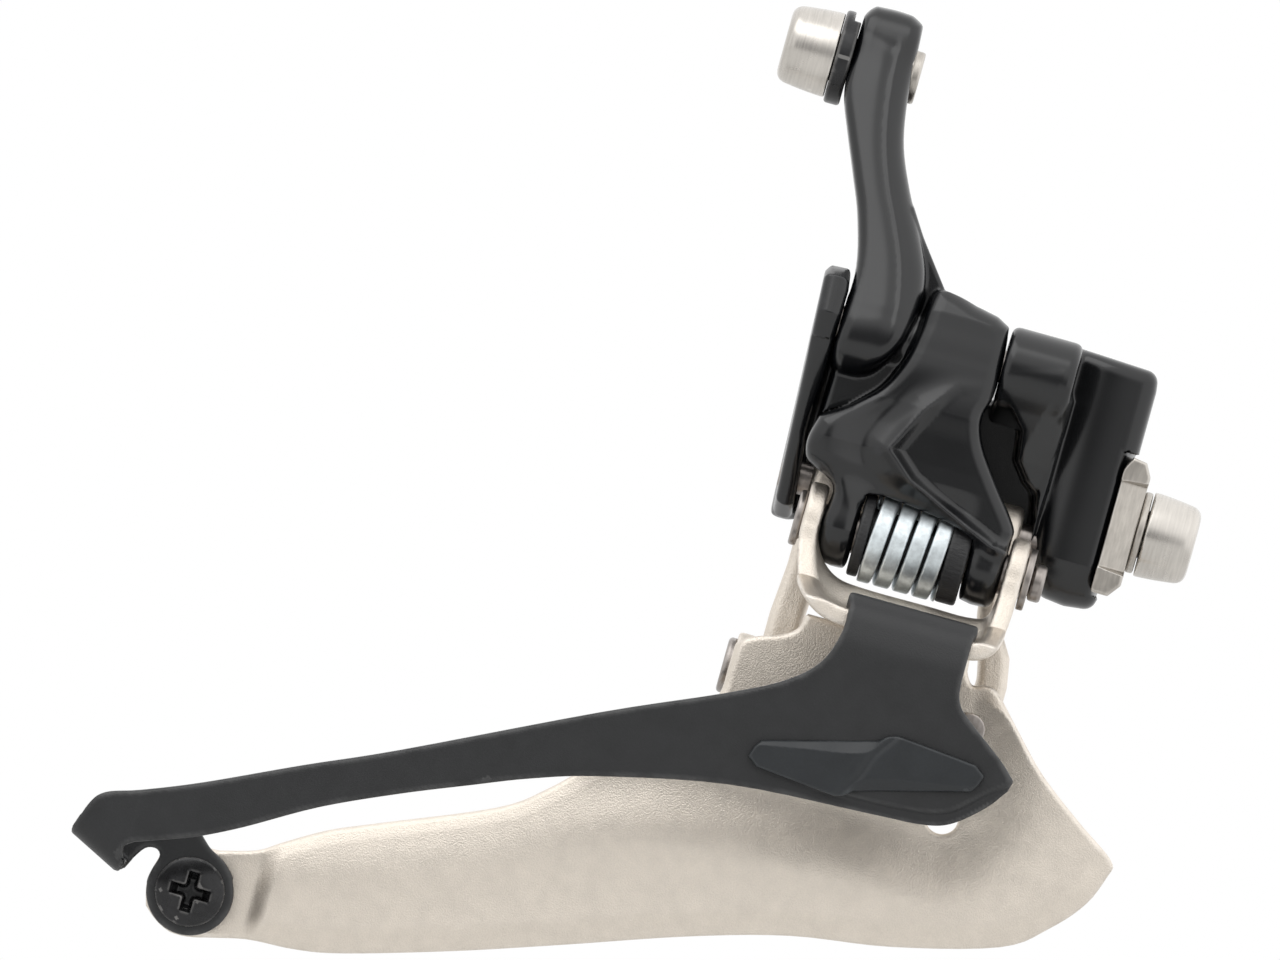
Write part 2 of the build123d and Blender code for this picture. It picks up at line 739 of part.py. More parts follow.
with BuildPart() as outer_plate:
    with BuildSketch(Plane.XZ.offset(-OUTER_BACK)):
        with BuildLine():
            Line((NECK[0] + 0.2, SHELF_TOP + OUTER_SHEET), PLATE_TOP_EDGE[0])
            Spline(*PLATE_TOP_EDGE)
            Polyline(
                PLATE_TOP_EDGE[-1],
                (-88.6, -51.8),
                FOLD[0],
                FOLD[1],
                (-84.5, -55.6),
                PLATE_BOTTOM_EDGE[0],
            )
            Spline(*PLATE_BOTTOM_EDGE)
            Polyline(
                PLATE_BOTTOM_EDGE[-1],
                (-3.3, -26.6),
                (-5.0, -24.9),
                (-10.0, -21.2),
                (NECK[1], -19.0),
                (NECK[1], SHELF_TOP + OUTER_SHEET),
                (NECK[0] + 0.2, SHELF_TOP + OUTER_SHEET),
            )
        make_face()
        with Locations(PAD_SLOT):
            Rectangle(8.0, 2.0, rotation=14, mode=Mode.SUBTRACT)
    extrude(amount=OUTER_SHEET)
    # The neck folds over the collar's shelf as a flange.
    with BuildSketch(Plane.XY.offset(SHELF_TOP)):
        with Locations(((NECK[0] + NECK[1]) / 2, (OUTER_BACK - 14.0) / 2 - 0.2)):
            Rectangle(NECK[1] - NECK[0], 8.4)
        with Locations(*BRIDGE_RIVETS):
            Circle(BRIDGE_RIVET_R + SEAT, mode=Mode.SUBTRACT)
    extrude(amount=OUTER_SHEET)
    # The tail folds across the cage, then back as a tab that lies on the inner plate's tail.
    with BuildSketch(Plane.XZ.offset(-TAIL_FACE)):
        with BuildLine():
            Polyline(
                FOLD[0],
                FOLD[1],
                (FOLD[1][0] + FOLD_IN.X, FOLD[1][1] + FOLD_IN.Y),
                (FOLD[0][0] + FOLD_IN.X, FOLD[0][1] + FOLD_IN.Y),
                close=True,
            )
        make_face()
    extrude(amount=TAIL_FACE - OUTER_FACE)
    with BuildSketch(Plane.XZ.offset(-TAIL_FACE)):
        with Locations(TAIL_HOLE):
            Circle(TAIL_TAB_R)
        with BuildLine():
            Polyline(
                FOLD[0],
                FOLD[1],
                (-83.5, -56.7),
                (-82.6, -55.2),
                (-81.4, -55.2),
                (-81.3, -57.0),
                TAIL_HOLE,
                (-74.4, -55.2),
                (-77.7, -52.0),
                (-86.0, -53.2),
                (-88.9, -53.6),
                close=True,
            )
        make_face()
        with Locations(TAIL_HOLE):
            Circle(TAIL_SCREW_R + 0.1, mode=Mode.SUBTRACT)
    extrude(amount=OUTER_SHEET)

with BuildPart() as wear_pad:
    with BuildSketch(Plane.XZ.offset(-OUTER_FACE)):
        with BuildLine():
            Polyline(*PAD_OUTLINE, close=True)
        make_face()
    extrude(amount=0.9)
    with BuildSketch(Plane.XZ.offset(-OUTER_BACK)):
        with Locations(PAD_SLOT):
            Rectangle(7.9, 1.9, rotation=14)
    extrude(amount=OUTER_SHEET)

# ---------------------------------------------------------------- cage fasteners and pins

HEAD_FACE = TAIL_FACE - OUTER_SHEET
NUT_SEAT = TAIL_FACE + INNER_SHEET
tail_blank = turned(
    axis_plane_y(TAIL_HOLE),
    [
        (HEAD_FACE - 1.1, 0),
        (HEAD_FACE - 1.05, 1.6),
        (HEAD_FACE - 0.75, 2.8),
        (HEAD_FACE - 0.3, 3.45),
        (HEAD_FACE, 3.45),
        (HEAD_FACE, TAIL_SCREW_R),
        (NUT_SEAT + 2.2, TAIL_SCREW_R),
        (NUT_SEAT + 2.5, TAIL_SCREW_R - 0.3),
        (NUT_SEAT + 2.5, 0),
    ],
)
with BuildPart() as tail_screw:
    add(tail_blank.part)
    with BuildSketch(Plane.XZ.offset(-HEAD_FACE + 1.2)):
        with Locations(TAIL_HOLE):
            Rectangle(3.9, 1.1, rotation=-20)
            Rectangle(1.1, 3.9, rotation=-20)
    extrude(amount=-1.7, taper=8, mode=Mode.SUBTRACT)

with BuildPart() as tail_nut:
    with BuildSketch(Plane.XZ.offset(-NUT_SEAT)):
        with Locations(TAIL_HOLE):
            RegularPolygon(3.5, 6, major_radius=False)
            Circle(TAIL_SCREW_R + RUNNING, mode=Mode.SUBTRACT)
    extrude(amount=-2.2)

with BuildPart() as bridge_rivets:
    # Two rivets, flush on top of the flange, with low round heads below the shelf.
    with BuildSketch(Plane.XY.offset(SHELF_TOP - INNER_SHEET)):
        with Locations(*BRIDGE_RIVETS):
            Circle(BRIDGE_RIVET_R)
    extrude(amount=INNER_SHEET + OUTER_SHEET)
    with BuildSketch(Plane.XY.offset(SHELF_TOP - INNER_SHEET)):
        with Locations(*BRIDGE_RIVETS):
            Circle(BRIDGE_RIVET_R + 0.77)
    extrude(amount=-0.7, taper=30)

with BuildPart() as hinge_bracket:
    # Angle behind the lobe: a flange on the inner plate and the ear of the lower inner pin.
    with BuildSketch(Plane.XZ.offset(-INNER_BACK)):
        with Locations((-8.2, -23.2)):
            RectangleRounded(7.8, 6.2, 0.8)
        with Locations(BRACKET_RIVET):
            Circle(BRACKET_RIVET_R + SEAT, mode=Mode.SUBTRACT)
    extrude(amount=-BRACKET_SHEET)
    with BuildSketch(Plane.YZ.offset(BRACKET_EAR[0])):
        with Locations(LOWER_INNER):
            Circle(2.9)
        with BuildLine():
            Polyline(
                (INNER_BACK, -20.4),
                (LOWER_INNER[0], -20.3),
                (LOWER_INNER[0], -26.0),
                (INNER_BACK, -26.0),
                close=True,
            )
        make_face()
        with Locations(LOWER_INNER):
            Circle(LOWER_INNER_PIN_R + SEAT, mode=Mode.SUBTRACT)
    extrude(amount=BRACKET_EAR[1] - BRACKET_EAR[0])

bracket_rivet = turned(
    axis_plane_y(BRACKET_RIVET),
    [
        (INNER_FACE - 0.35, 0),
        (INNER_FACE - 0.3, 1.2),
        (INNER_FACE, 1.65),
        (INNER_FACE, BRACKET_RIVET_R),
        (INNER_BACK + BRACKET_SHEET, BRACKET_RIVET_R),
        (INNER_BACK + BRACKET_SHEET, BRACKET_RIVET_R + 0.6),
        (INNER_BACK + BRACKET_SHEET + 0.5, BRACKET_RIVET_R),
        (INNER_BACK + BRACKET_SHEET + 0.55, 0),
    ],
)

lower_outer_pin = turned(
    axis_plane_x(LOWER_OUTER),
    [
        (COLLAR[0] - 0.8, 0),
        (COLLAR[0] - 0.8, 2.5),
        (COLLAR[0] - 0.6, 2.75),
        (COLLAR[0], 2.75),
        (COLLAR[0], LOWER_OUTER_PIN_R),
        (COLLAR[1] + 0.1, LOWER_OUTER_PIN_R),
        (COLLAR[1] + 0.1, 1.4),
        (COLLAR[1] + 0.9, 1.4),
        (COLLAR[1] + 0.9, 1.85),
        (COLLAR[1] + 1.9, 1.85),
        (COLLAR[1] + 2.2, 1.55),
        (COLLAR[1] + 2.2, 0),
    ],
)

with BuildPart() as lower_outer_clip:
    # Retaining clip: an open ring snapped into the pin's groove.
    with BuildSketch(Plane.YZ.offset(COLLAR[1] + 0.12)):
        with Locations(LOWER_OUTER):
            Circle(3.15)
            Circle(1.95, mode=Mode.SUBTRACT)
            for turn in (90, 210, 330):
                with Locations(Rotation(0, 0, turn)):
                    with Locations((1.95, 0)):
                        Rectangle(1.0, 1.1)
        with Locations((LOWER_OUTER[0], LOWER_OUTER[1] - 3.0)):
            Rectangle(2.2, 3.4, mode=Mode.SUBTRACT)
    extrude(amount=0.7)

lower_inner_pin = turned(
    axis_plane_x(LOWER_INNER),
    [
        (LOW_EAR[0] - 0.8, 0),
        (LOW_EAR[0] - 0.8, 2.5),
        (LOW_EAR[0] - 0.6, 2.75),
        (LOW_EAR[0], 2.75),
        (LOW_EAR[0], LOWER_INNER_PIN_R),
        (BRACKET_EAR[1], LOWER_INNER_PIN_R),
        (BRACKET_EAR[1] + 0.3, 1.2),
        (BRACKET_EAR[1] + 0.3, 0),
    ],
)

# ---------------------------------------------------------------- one STEP file per piece

pieces = {
    "body": body,
    "upper_outer_pin": upper_outer_pin,
    "upper_inner_pin": upper_inner_pin,
    "low_limit_screw": low_limit_screw,
    "high_limit_screw": high_limit_screw,
    "fixing_bolt": fixing_bolt,
    "fixing_washer": fixing_washer,
    "radius_washer": radius_washer,
    "outer_link": outer_link,
    "cable_insert": cable_insert,
    "cable_bolt": cable_bolt,
    "cable_washer": cable_washer,
    "return_spring": return_spring,
    "spring_sleeve": spring_sleeve,
    "inner_link": inner_link,
    "inner_plate": inner_cage,
    "outer_plate": outer_plate,
    "wear_pad": wear_pad,
    "tail_screw": tail_screw,
    "tail_nut": tail_nut,
    "bridge_rivets": bridge_rivets,
    "hinge_bracket": hinge_bracket,
    "bracket_rivet": bracket_rivet,
    "lower_outer_pin": lower_outer_pin,
    "lower_outer_clip": lower_outer_clip,
    "lower_inner_pin": lower_inner_pin,
}
os.makedirs("parts", exist_ok=True)
for name, piece in pieces.items():
    piece.part.label = name
    export_step(piece.part, f"parts/{name}.step")
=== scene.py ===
import bpy
import json
import math
import numpy as np
from mathutils import Matrix, Vector


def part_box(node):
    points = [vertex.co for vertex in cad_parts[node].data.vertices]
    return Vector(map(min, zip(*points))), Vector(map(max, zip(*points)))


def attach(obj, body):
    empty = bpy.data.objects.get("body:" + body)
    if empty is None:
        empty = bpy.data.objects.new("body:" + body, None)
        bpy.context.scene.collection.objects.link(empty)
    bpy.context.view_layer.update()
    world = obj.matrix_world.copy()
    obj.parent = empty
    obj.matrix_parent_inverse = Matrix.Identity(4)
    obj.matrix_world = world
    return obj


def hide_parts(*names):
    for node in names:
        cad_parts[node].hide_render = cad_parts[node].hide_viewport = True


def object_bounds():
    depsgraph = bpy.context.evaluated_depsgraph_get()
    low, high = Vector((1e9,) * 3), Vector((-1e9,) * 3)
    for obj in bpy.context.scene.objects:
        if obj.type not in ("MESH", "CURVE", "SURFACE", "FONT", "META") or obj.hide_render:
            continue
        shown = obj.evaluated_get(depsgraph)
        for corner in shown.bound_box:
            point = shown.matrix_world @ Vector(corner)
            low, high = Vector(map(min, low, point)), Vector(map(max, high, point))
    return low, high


# Front derailleur. Shapes are written as signed distances in millimetres, in the row frame
# (+X forward, +Y to the bicycle's left, +Z up), then meshed and scaled to metres.

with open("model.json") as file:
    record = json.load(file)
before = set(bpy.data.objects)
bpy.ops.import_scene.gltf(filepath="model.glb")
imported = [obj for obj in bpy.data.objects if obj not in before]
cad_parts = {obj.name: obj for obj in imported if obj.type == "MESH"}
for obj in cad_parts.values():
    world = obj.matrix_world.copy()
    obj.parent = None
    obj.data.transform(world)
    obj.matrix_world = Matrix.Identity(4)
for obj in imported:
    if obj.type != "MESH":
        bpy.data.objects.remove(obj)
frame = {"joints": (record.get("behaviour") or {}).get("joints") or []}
CAD_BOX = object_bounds()
MM = 0.001
X, Y, Z = 0, 1, 2
COARSE = 1.0


# ------------ places read from the frame

def joint_centre(name):
    """(Y, Z) of a pivot, in millimetres."""
    for joint in frame["joints"]:
        if joint["name"] == name:
            return np.array(joint["pos_m"][1:]) / MM
    raise KeyError(name)


def node_box(name):
    """Lowest and highest corner of a CAD node, in millimetres."""
    low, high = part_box(name)
    return np.array(low) / MM, np.array(high) / MM


def node_centre(name, *axes):
    """Middle of a CAD node's box along the given axes, in millimetres."""
    low, high = node_box(name)
    return ((low + high) / 2)[list(axes)]


UPPER_OUTER = joint_centre("outer_link_swing")
UPPER_INNER = joint_centre("inner_link_swing")
LOWER_OUTER = joint_centre("cage_pivot")
LOWER_INNER = UPPER_INNER + LOWER_OUTER - UPPER_OUTER


# ------------ signed distances

# A cut's field where it takes nothing away.
NO_CUT = -5.0


def smax(a, b, k):
    """Larger of two fields, rounded over a band k wide."""
    h = np.maximum(k - np.abs(a - b), 0.0) / k
    return np.maximum(a, b) + h * h * k / 4


def smin(a, b, k):
    """Smaller of two fields, rounded over a band k wide."""
    return -smax(-a, -b, k)


def ramp(t):
    """0 below 0, 1 above 1, smooth between."""
    t = np.clip(t, 0.0, 1.0)
    return t * t * (3 - 2 * t)


def slab(w, low, high):
    """Distance to the space between two parallel planes."""
    return np.maximum(low - w, w - high)


def disc(u, v, centre, radius):
    """Distance to a circle, or to a cylinder along the third axis."""
    return np.hypot(u - centre[0], v - centre[1]) - radius


def bore(solid, u, v, centre, radius, ease, where=True):
    """The solid with a round hole, its rim eased, cut only where asked."""
    return smax(solid, np.where(where, -disc(u, v, centre, radius), NO_CUT), ease)


def to_segments(u, v, points):
    """Squared distance to each segment in turn, with the segment's ends."""
    for (ax, ay), (bx, by) in zip(points[:-1], points[1:]):
        ex, ey = bx - ax, by - ay
        t = np.clip(((u - ax) * ex + (v - ay) * ey) / (ex * ex + ey * ey), 0, 1)
        yield (u - ax - ex * t) ** 2 + (v - ay - ey * t) ** 2, (ax, ay), (bx, by)


def stroke(u, v, points):
    """Distance to an open path."""
    best = 1e9
    for squared, _, _ in to_segments(u, v, points):
        best = np.minimum(best, squared)
    return np.sqrt(best)


def polygon(u, v, points):
    """Signed distance to a closed outline."""
    best = 1e9
    inside = np.zeros(np.broadcast(u, v).shape, bool)
    for squared, (ax, ay), (bx, by) in to_segments(u, v, list(points) + [points[0]]):
        best = np.minimum(best, squared)
        if ay != by:
            crosses = (ay > v) != (by > v)
            inside ^= crosses & (u < ax + (bx - ax) * (v - ay) / (by - ay))
    return np.where(inside, -1.0, 1.0) * np.sqrt(best)


def curve(*points, steps=5):
    """Points along a smooth line through the given ones."""
    p = np.array(points, float)
    p = np.vstack([2 * p[0] - p[1], p, 2 * p[-1] - p[-2]])
    line = []
    for a, b, c, d in zip(p[:-3], p[1:-2], p[2:-1], p[3:]):
        for t in np.arange(steps) / steps:
            line.append(
                0.5 * (2 * b + (c - a) * t + (2 * a - 5 * b + 4 * c - d) * t**2
                       + (3 * b - a - 3 * c + d) * t**3)
            )
    return [tuple(q) for q in line] + [tuple(p[-2])]


# ------------ meshing

MARGIN = 0.3


def surface_net(shape, low, high, step):
    """Vertices and quads of the shape's zero surface inside the box."""
    axes = [np.arange(a - 2 * step, b + 3 * step, step) for a, b in zip(low, high)]
    grid = [axes[0][:, None, None], axes[1][None, :, None], axes[2][None, None, :]]
    size = tuple(len(a) for a in axes)
    field = np.broadcast_to(shape(*grid), size).astype(np.float32)
    solid = field < 0
    cells = tuple(n - 1 for n in size)
    count = np.zeros(cells, np.int8)
    corners = [(i, j, k) for i in (0, 1) for j in (0, 1) for k in (0, 1)]
    for i, j, k in corners:
        count += solid[i:i + cells[0], j:j + cells[1], k:k + cells[2]]
    # Each cell that the surface crosses has one vertex, at the mean of its edges' crossings.
    where = np.argwhere((count > 0) & (count < 8))
    index = np.full(cells, -1, np.int64)
    index[tuple(where.T)] = np.arange(len(where))
    total = np.zeros((len(where), 3))
    hits = np.zeros(len(where))
    for axis in range(3):
        way = np.eye(3, dtype=int)[axis]
        for corner in corners:
            if corner[axis]:
                continue
            a = where + corner
            fa, fb = field[tuple(a.T)], field[tuple((a + way).T)]
            cut = (fa < 0) != (fb < 0)
            t = np.where(cut, fa / np.where(cut, fa - fb, 1), 0)
            total += np.where(cut[:, None], a + t[:, None] * way, 0)
            hits += cut
    verts = np.array([a[0] for a in axes]) + total / hits[:, None] * step
    # Each grid edge that the surface crosses has one quad, through the four cells around it.
    quads = []
    for axis in range(3):
        way = np.eye(3, dtype=int)[axis]
        u, v = np.eye(3, dtype=int)[(axis + 1) % 3], np.eye(3, dtype=int)[(axis + 2) % 3]
        a = solid[tuple(slice(0, n - w) for n, w in zip(size, way))]
        b = solid[tuple(slice(w, None) for w in way)]
        for edges, flip in ((np.argwhere(a & ~b), False), (np.argwhere(~a & b), True)):
            edges = edges[(edges >= u + v).all(1) & (edges < np.array(cells)).all(1)]
            ring = [edges - u - v, edges - v, edges, edges - u]
            ring = np.stack([index[tuple(r.T)] for r in ring], 1)
            quads.append(ring[:, ::-1] if flip else ring)
    quads = np.vstack(quads)
    return verts, quads[(quads >= 0).all(1)]


def gradient(shape, points, reach=0.04):
    """Direction of steepest climb at each point, and its slope."""
    columns = []
    for axis in range(3):
        shift = np.eye(3)[axis] * reach
        ahead, behind = shape(*(points + shift).T), shape(*(points - shift).T)
        columns.append((ahead - behind) / (2 * reach))
    g = np.stack(columns, 1)
    slope = np.linalg.norm(g, axis=1)
    return g / np.maximum(slope, 1e-6)[:, None], np.maximum(slope, 0.3)


def settle(shape, verts, step):
    """Moves the vertices onto the zero surface."""
    for _ in range(2):
        way, slope = gradient(shape, verts)
        move = np.clip(shape(*verts.T) / slope, -0.6 * step, 0.6 * step)
        verts = verts - way * move[:, None]
    return verts, gradient(shape, verts, 0.08)[0]


def piece(name, body, material, shape, step):
    """Meshes a shape inside its CAD node's box, and makes it stand for that node."""
    low, high = node_box(name)
    step = step * COARSE
    verts, quads = surface_net(shape, low - MARGIN, high + MARGIN, step)
    verts, normals = settle(shape, verts, step)
    mesh = bpy.data.meshes.new(name + "_mesh")
    mesh.from_pydata((verts * MM).tolist(), [], quads.tolist())
    mesh.polygons.foreach_set("use_smooth", np.ones(len(quads), bool))
    mesh.normals_split_custom_set_from_vertices(normals.tolist())
    mesh.materials.append(material)
    obj = bpy.data.objects.new(name + "_look", mesh)
    bpy.context.scene.collection.objects.link(obj)
    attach(obj, body)
    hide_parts(name)


# ------------ materials

def new_material(name):
    made = bpy.data.materials.new(name)
    made.use_nodes = True
    tree = made.node_tree
    return made, tree, tree.nodes["Principled BSDF"]


def add_node(tree, kind, **settings):
    """New node; a setting is one of its own or the value of one of its inputs."""
    node = tree.nodes.new(kind)
    for key, value in settings.items():
        if hasattr(node, key):
            setattr(node, key, value)
        else:
            node.inputs[key].default_value = value
    return node


def noise(tree, scale, detail, stretch=(1, 1, 1)):
    """Noise in the part's own coordinates; scale is in grains per metre."""
    where = add_node(tree, "ShaderNodeTexCoord")
    mapping = add_node(tree, "ShaderNodeMapping", Scale=stretch)
    tree.links.new(where.outputs["Object"], mapping.inputs["Vector"])
    made = add_node(tree, "ShaderNodeTexNoise", Scale=scale, Detail=detail, Roughness=0.55)
    tree.links.new(mapping.outputs["Vector"], made.inputs["Vector"])
    return made.outputs["Fac"]


def remap(tree, value, from_low, from_high, to_low, to_high):
    made = add_node(tree, "ShaderNodeMapRange")
    made.inputs["From Min"].default_value = from_low
    made.inputs["From Max"].default_value = from_high
    made.inputs["To Min"].default_value = to_low
    made.inputs["To Max"].default_value = to_high
    tree.links.new(value, made.inputs["Value"])
    return made.outputs["Result"]


def combine(tree, operation, a, b):
    made = add_node(tree, "ShaderNodeMath", operation=operation)
    for socket, value in zip(made.inputs, (a, b)):
        if isinstance(value, (int, float)):
            socket.default_value = value
        else:
            tree.links.new(value, socket)
    return made.outputs["Value"]


def mix_colour(tree, factor, a, b):
    """Mix of two colours, either of them a fixed one or another node's output."""
    made = add_node(tree, "ShaderNodeMix", data_type="RGBA")
    factor_socket, a_socket, b_socket = made.inputs[0], made.inputs[6], made.inputs[7]
    tree.links.new(factor, factor_socket)
    for socket, value in ((a_socket, a), (b_socket, b)):
        if isinstance(value, tuple):
            socket.default_value = (*value, 1.0)
        else:
            tree.links.new(value, socket)
    return made.outputs[2]


def convex_edges(tree):
    """1 on convex edges, 0 elsewhere."""
    geometry = add_node(tree, "ShaderNodeNewGeometry")
    flat, sharp = 0.515, 0.56
    return remap(tree, geometry.outputs["Pointiness"], flat, sharp, 0.0, 1.0)


def bumps(tree, shader, height, distance):
    made = add_node(tree, "ShaderNodeBump", Strength=1.0, Distance=distance)
    tree.links.new(height, made.inputs["Height"])
    tree.links.new(made.outputs["Normal"], shader.inputs["Normal"])


def surface(name, tone, worn, rough, grain, bump, mottle, wear, metallic=0.0, specular=0.5,
            stretch=(1, 1, 1)):
    """A finish with mottled colour, uneven gloss, a fine grain and worn edges.

    grain is in grains per metre, bump in metres, rough a (low, high) pair."""
    made, tree, shader = new_material(name)
    cloud = noise(tree, grain / 12, 4)
    fine = noise(tree, grain, 3, stretch)
    shift = remap(tree, cloud, 0.3, 0.7, 1 - mottle, 1 + mottle)
    speck = remap(tree, fine, 0.3, 0.7, 1 - mottle, 1 + mottle)
    shade = combine(tree, "MULTIPLY", shift, speck)
    tinted = add_node(tree, "ShaderNodeVectorMath", operation="SCALE")
    tinted.inputs[0].default_value = tone
    tree.links.new(shade, tinted.inputs["Scale"])
    scuffs = combine(tree, "MULTIPLY", convex_edges(tree), remap(tree, cloud, 0.35, 0.6, 0.2, 1.0))
    scuffs = combine(tree, "MULTIPLY", scuffs, wear)
    colour = mix_colour(tree, scuffs, tinted.outputs["Vector"], worn)
    tree.links.new(colour, shader.inputs["Base Color"])
    tree.links.new(remap(tree, cloud, 0.3, 0.7, *rough), shader.inputs["Roughness"])
    shader.inputs["Metallic"].default_value = metallic
    shader.inputs["Specular IOR Level"].default_value = specular
    bumps(tree, shader, fine, bump)
    return made


PAINT = surface(
    "gloss_black_paint", (0.0016, 0.0019, 0.0026), (0.02, 0.022, 0.026), rough=(0.2, 0.27),
    grain=900, bump=2.0e-6, mottle=0.15, wear=0.35, specular=0.62)
SATIN = surface(
    "satin_black_plate", (0.009, 0.0095, 0.0105), (0.10, 0.10, 0.10), rough=(0.42, 0.5),
    grain=6000, bump=3.0e-5, mottle=0.14, wear=0.5, specular=0.54)
NICKEL = surface(
    "blasted_nickel", (0.745, 0.68, 0.60), (0.88, 0.84, 0.79), rough=(0.41, 0.46),
    grain=6500, bump=6.5e-5, mottle=0.045, wear=0.5, metallic=1.0)
TURNED_STEEL = surface(
    "turned_stainless", (0.58, 0.55, 0.51), (0.80, 0.77, 0.72), rough=(0.22, 0.33),
    grain=2200, bump=5e-6, mottle=0.09, wear=0.6, metallic=1.0, stretch=(2.2, 0.12, 0.12))
STEEL = surface(
    "milled_stainless", (0.47, 0.44, 0.40), (0.76, 0.73, 0.69), rough=(0.28, 0.42),
    grain=2200, bump=8e-6, mottle=0.12, wear=0.6, metallic=1.0, stretch=(1.6, 0.5, 0.3))
PIN_STEEL = surface(
    "pin_steel", (0.33, 0.30, 0.28), (0.60, 0.57, 0.54), rough=(0.26, 0.4),
    grain=2600, bump=5e-6, mottle=0.16, wear=0.6, metallic=1.0, stretch=(1, 0.3, 0.3))
ZINC = surface(
    "zinc_spring", (0.66, 0.71, 0.73), (0.72, 0.76, 0.78), rough=(0.4, 0.5),
    grain=1500, bump=1.2e-5, mottle=0.16, wear=0.4, metallic=1.0)
PLASTIC = surface(
    "black_plastic", (0.014, 0.014, 0.015), (0.07, 0.07, 0.07), rough=(0.4, 0.65),
    grain=2600, bump=9e-5, mottle=0.3, wear=0.4, stretch=(0.5, 1.5, 1.5))
PAD_PLASTIC = surface(
    "pad_plastic", (0.008, 0.0105, 0.013), (0.05, 0.056, 0.06), rough=(0.4, 0.5),
    grain=4200, bump=1.5e-5, mottle=0.12, wear=0.6, specular=0.55)
BLACKENED = surface(
    "blackened_steel", (0.018, 0.018, 0.019), (0.30, 0.29, 0.28), rough=(0.2, 0.34),
    grain=1800, bump=6e-6, mottle=0.2, wear=0.7, metallic=0.35)


# ------------ turned and hexagonal pieces

def hexagon(u, v, centre, across):
    """Hexagon by its width across flats, with two flats square to u."""
    u, v = u - centre[0], v - centre[1]
    half = math.sqrt(3) / 2
    slanting = np.maximum(np.abs(u / 2 + v * half), np.abs(u / 2 - v * half))
    return np.maximum(np.abs(u), slanting) - across / 2


def thread(along, u, v, radius, pitch, depth):
    """A vee thread's radius field about the origin of (u, v)."""
    phase = along / pitch - np.arctan2(v, u) / (2 * math.pi)
    tooth = np.abs(phase - np.floor(phase) - 0.5) * 2
    return (np.hypot(u, v) - radius + depth * tooth) * 0.75


BOLT_R, BOLT_PITCH, BOLT_THREAD_DEPTH = 2.45, 0.8, 0.3
BOLT_HEAD_R, BOLT_HEAD_TAPER = 4.22, 0.5
SOCKET_ACROSS, SOCKET_DEPTH = 4.0, 2.8
FIXING_HEAD, CABLE_HEAD = 4.95, 5.05


def cap_bolt(name, head, way):
    """Socket cap bolt along X, with a tapering head at the end that way (1 or -1) points to."""
    low, high = node_box(name)
    centre = node_centre(name, Y, Z)
    top = high[0] if way > 0 else low[0]

    def shape(x, y, z):
        depth = (top - x) * way
        radius = BOLT_HEAD_R - BOLT_HEAD_TAPER * np.clip(1 - depth / head, 0, 1) ** 1.6
        cap = smax(smax(disc(y, z, centre, radius), -depth, 1.1), depth - head, 0.2)
        socket = smax(hexagon(y, z, centre, SOCKET_ACROSS), depth - SOCKET_DEPTH, 0.3)
        cap = smax(cap, -socket, 0.3)
        shank = thread(x * way, y - centre[0], z - centre[1], BOLT_R, BOLT_PITCH, BOLT_THREAD_DEPTH)
        shank = smax(shank, slab(depth, head - 0.5, high[0] - low[0]), 0.5)
        return np.minimum(cap, shank)

    return shape


def cross(u, v, centre, half_length, half_width):
    """Cross recess, with corners eased where its arms meet."""
    u, v = np.abs(u - centre[0]), np.abs(v - centre[1])
    one = np.maximum(u - half_length, v - half_width)
    other = np.maximum(v - half_length, u - half_width)
    return smin(one, other, 0.35)


LIMIT_HEAD_R, LIMIT_HEAD, LIMIT_TIP_R = 3.2, 2.0, 1.4
SMALL_THREAD_PITCH, SMALL_THREAD_DEPTH = 0.7, 0.25


def limit_screw(name):
    """Cross-head screw along Y, with a turned-down tip."""
    low, high = node_box(name)
    centre = node_centre(name, X, Z)
    top, tip = high[1], low[1]
    seat = top - LIMIT_HEAD
    tip_end = 1.4

    def shape(x, y, z):
        head = smax(disc(x, z, centre, LIMIT_HEAD_R), slab(y, seat, top), 0.5)
        slots = cross(x, z, centre, 2.1, 0.45)
        head = smax(head, -smax(slots, top - 1.2 - y, 0.1), 0.15)
        screw = thread(y, x - centre[0], z - centre[1], 1.9, SMALL_THREAD_PITCH, SMALL_THREAD_DEPTH)
        screw = smax(screw, slab(y, tip_end - 0.4, seat + 0.4), 0.3)
        point = smax(disc(x, z, centre, LIMIT_TIP_R), slab(y, tip, tip_end), 0.4)
        return np.minimum(head, np.minimum(screw, point))

    return shape


PIN_HEAD_R, PIN_HEAD = 2.75, 0.8


def turned_pin(name, profile):
    """A pin turned about an axis along X: the profile lists (X, radius)."""
    centre = node_centre(name, Y, Z)
    return lambda x, y, z: polygon(x, disc(y, z, centre, 0), profile)


def plain_pin(name):
    """Pin with eased ends that fills its CAD box."""
    low, high = node_box(name)
    rear, front, radius = low[0], high[0], (high - low)[1] / 2
    return turned_pin(name, [(rear, -1), (rear, radius - 0.35), (rear + 0.3, radius),
                             (front - 0.3, radius), (front, radius - 0.35), (front, -1)])


def headed_pin(name, radius):
    """Pin with a head at its rear end."""
    low, high = node_box(name)
    rear, front = low[0], high[0]
    return turned_pin(name, [(rear, -1), (rear, PIN_HEAD_R - 0.35), (rear + 0.1, PIN_HEAD_R - 0.12),
                             (rear + 0.3, PIN_HEAD_R), (rear + PIN_HEAD, PIN_HEAD_R),
                             (rear + PIN_HEAD, radius), (front - 0.3, radius), (front, radius - 0.3),
                             (front, -1)])


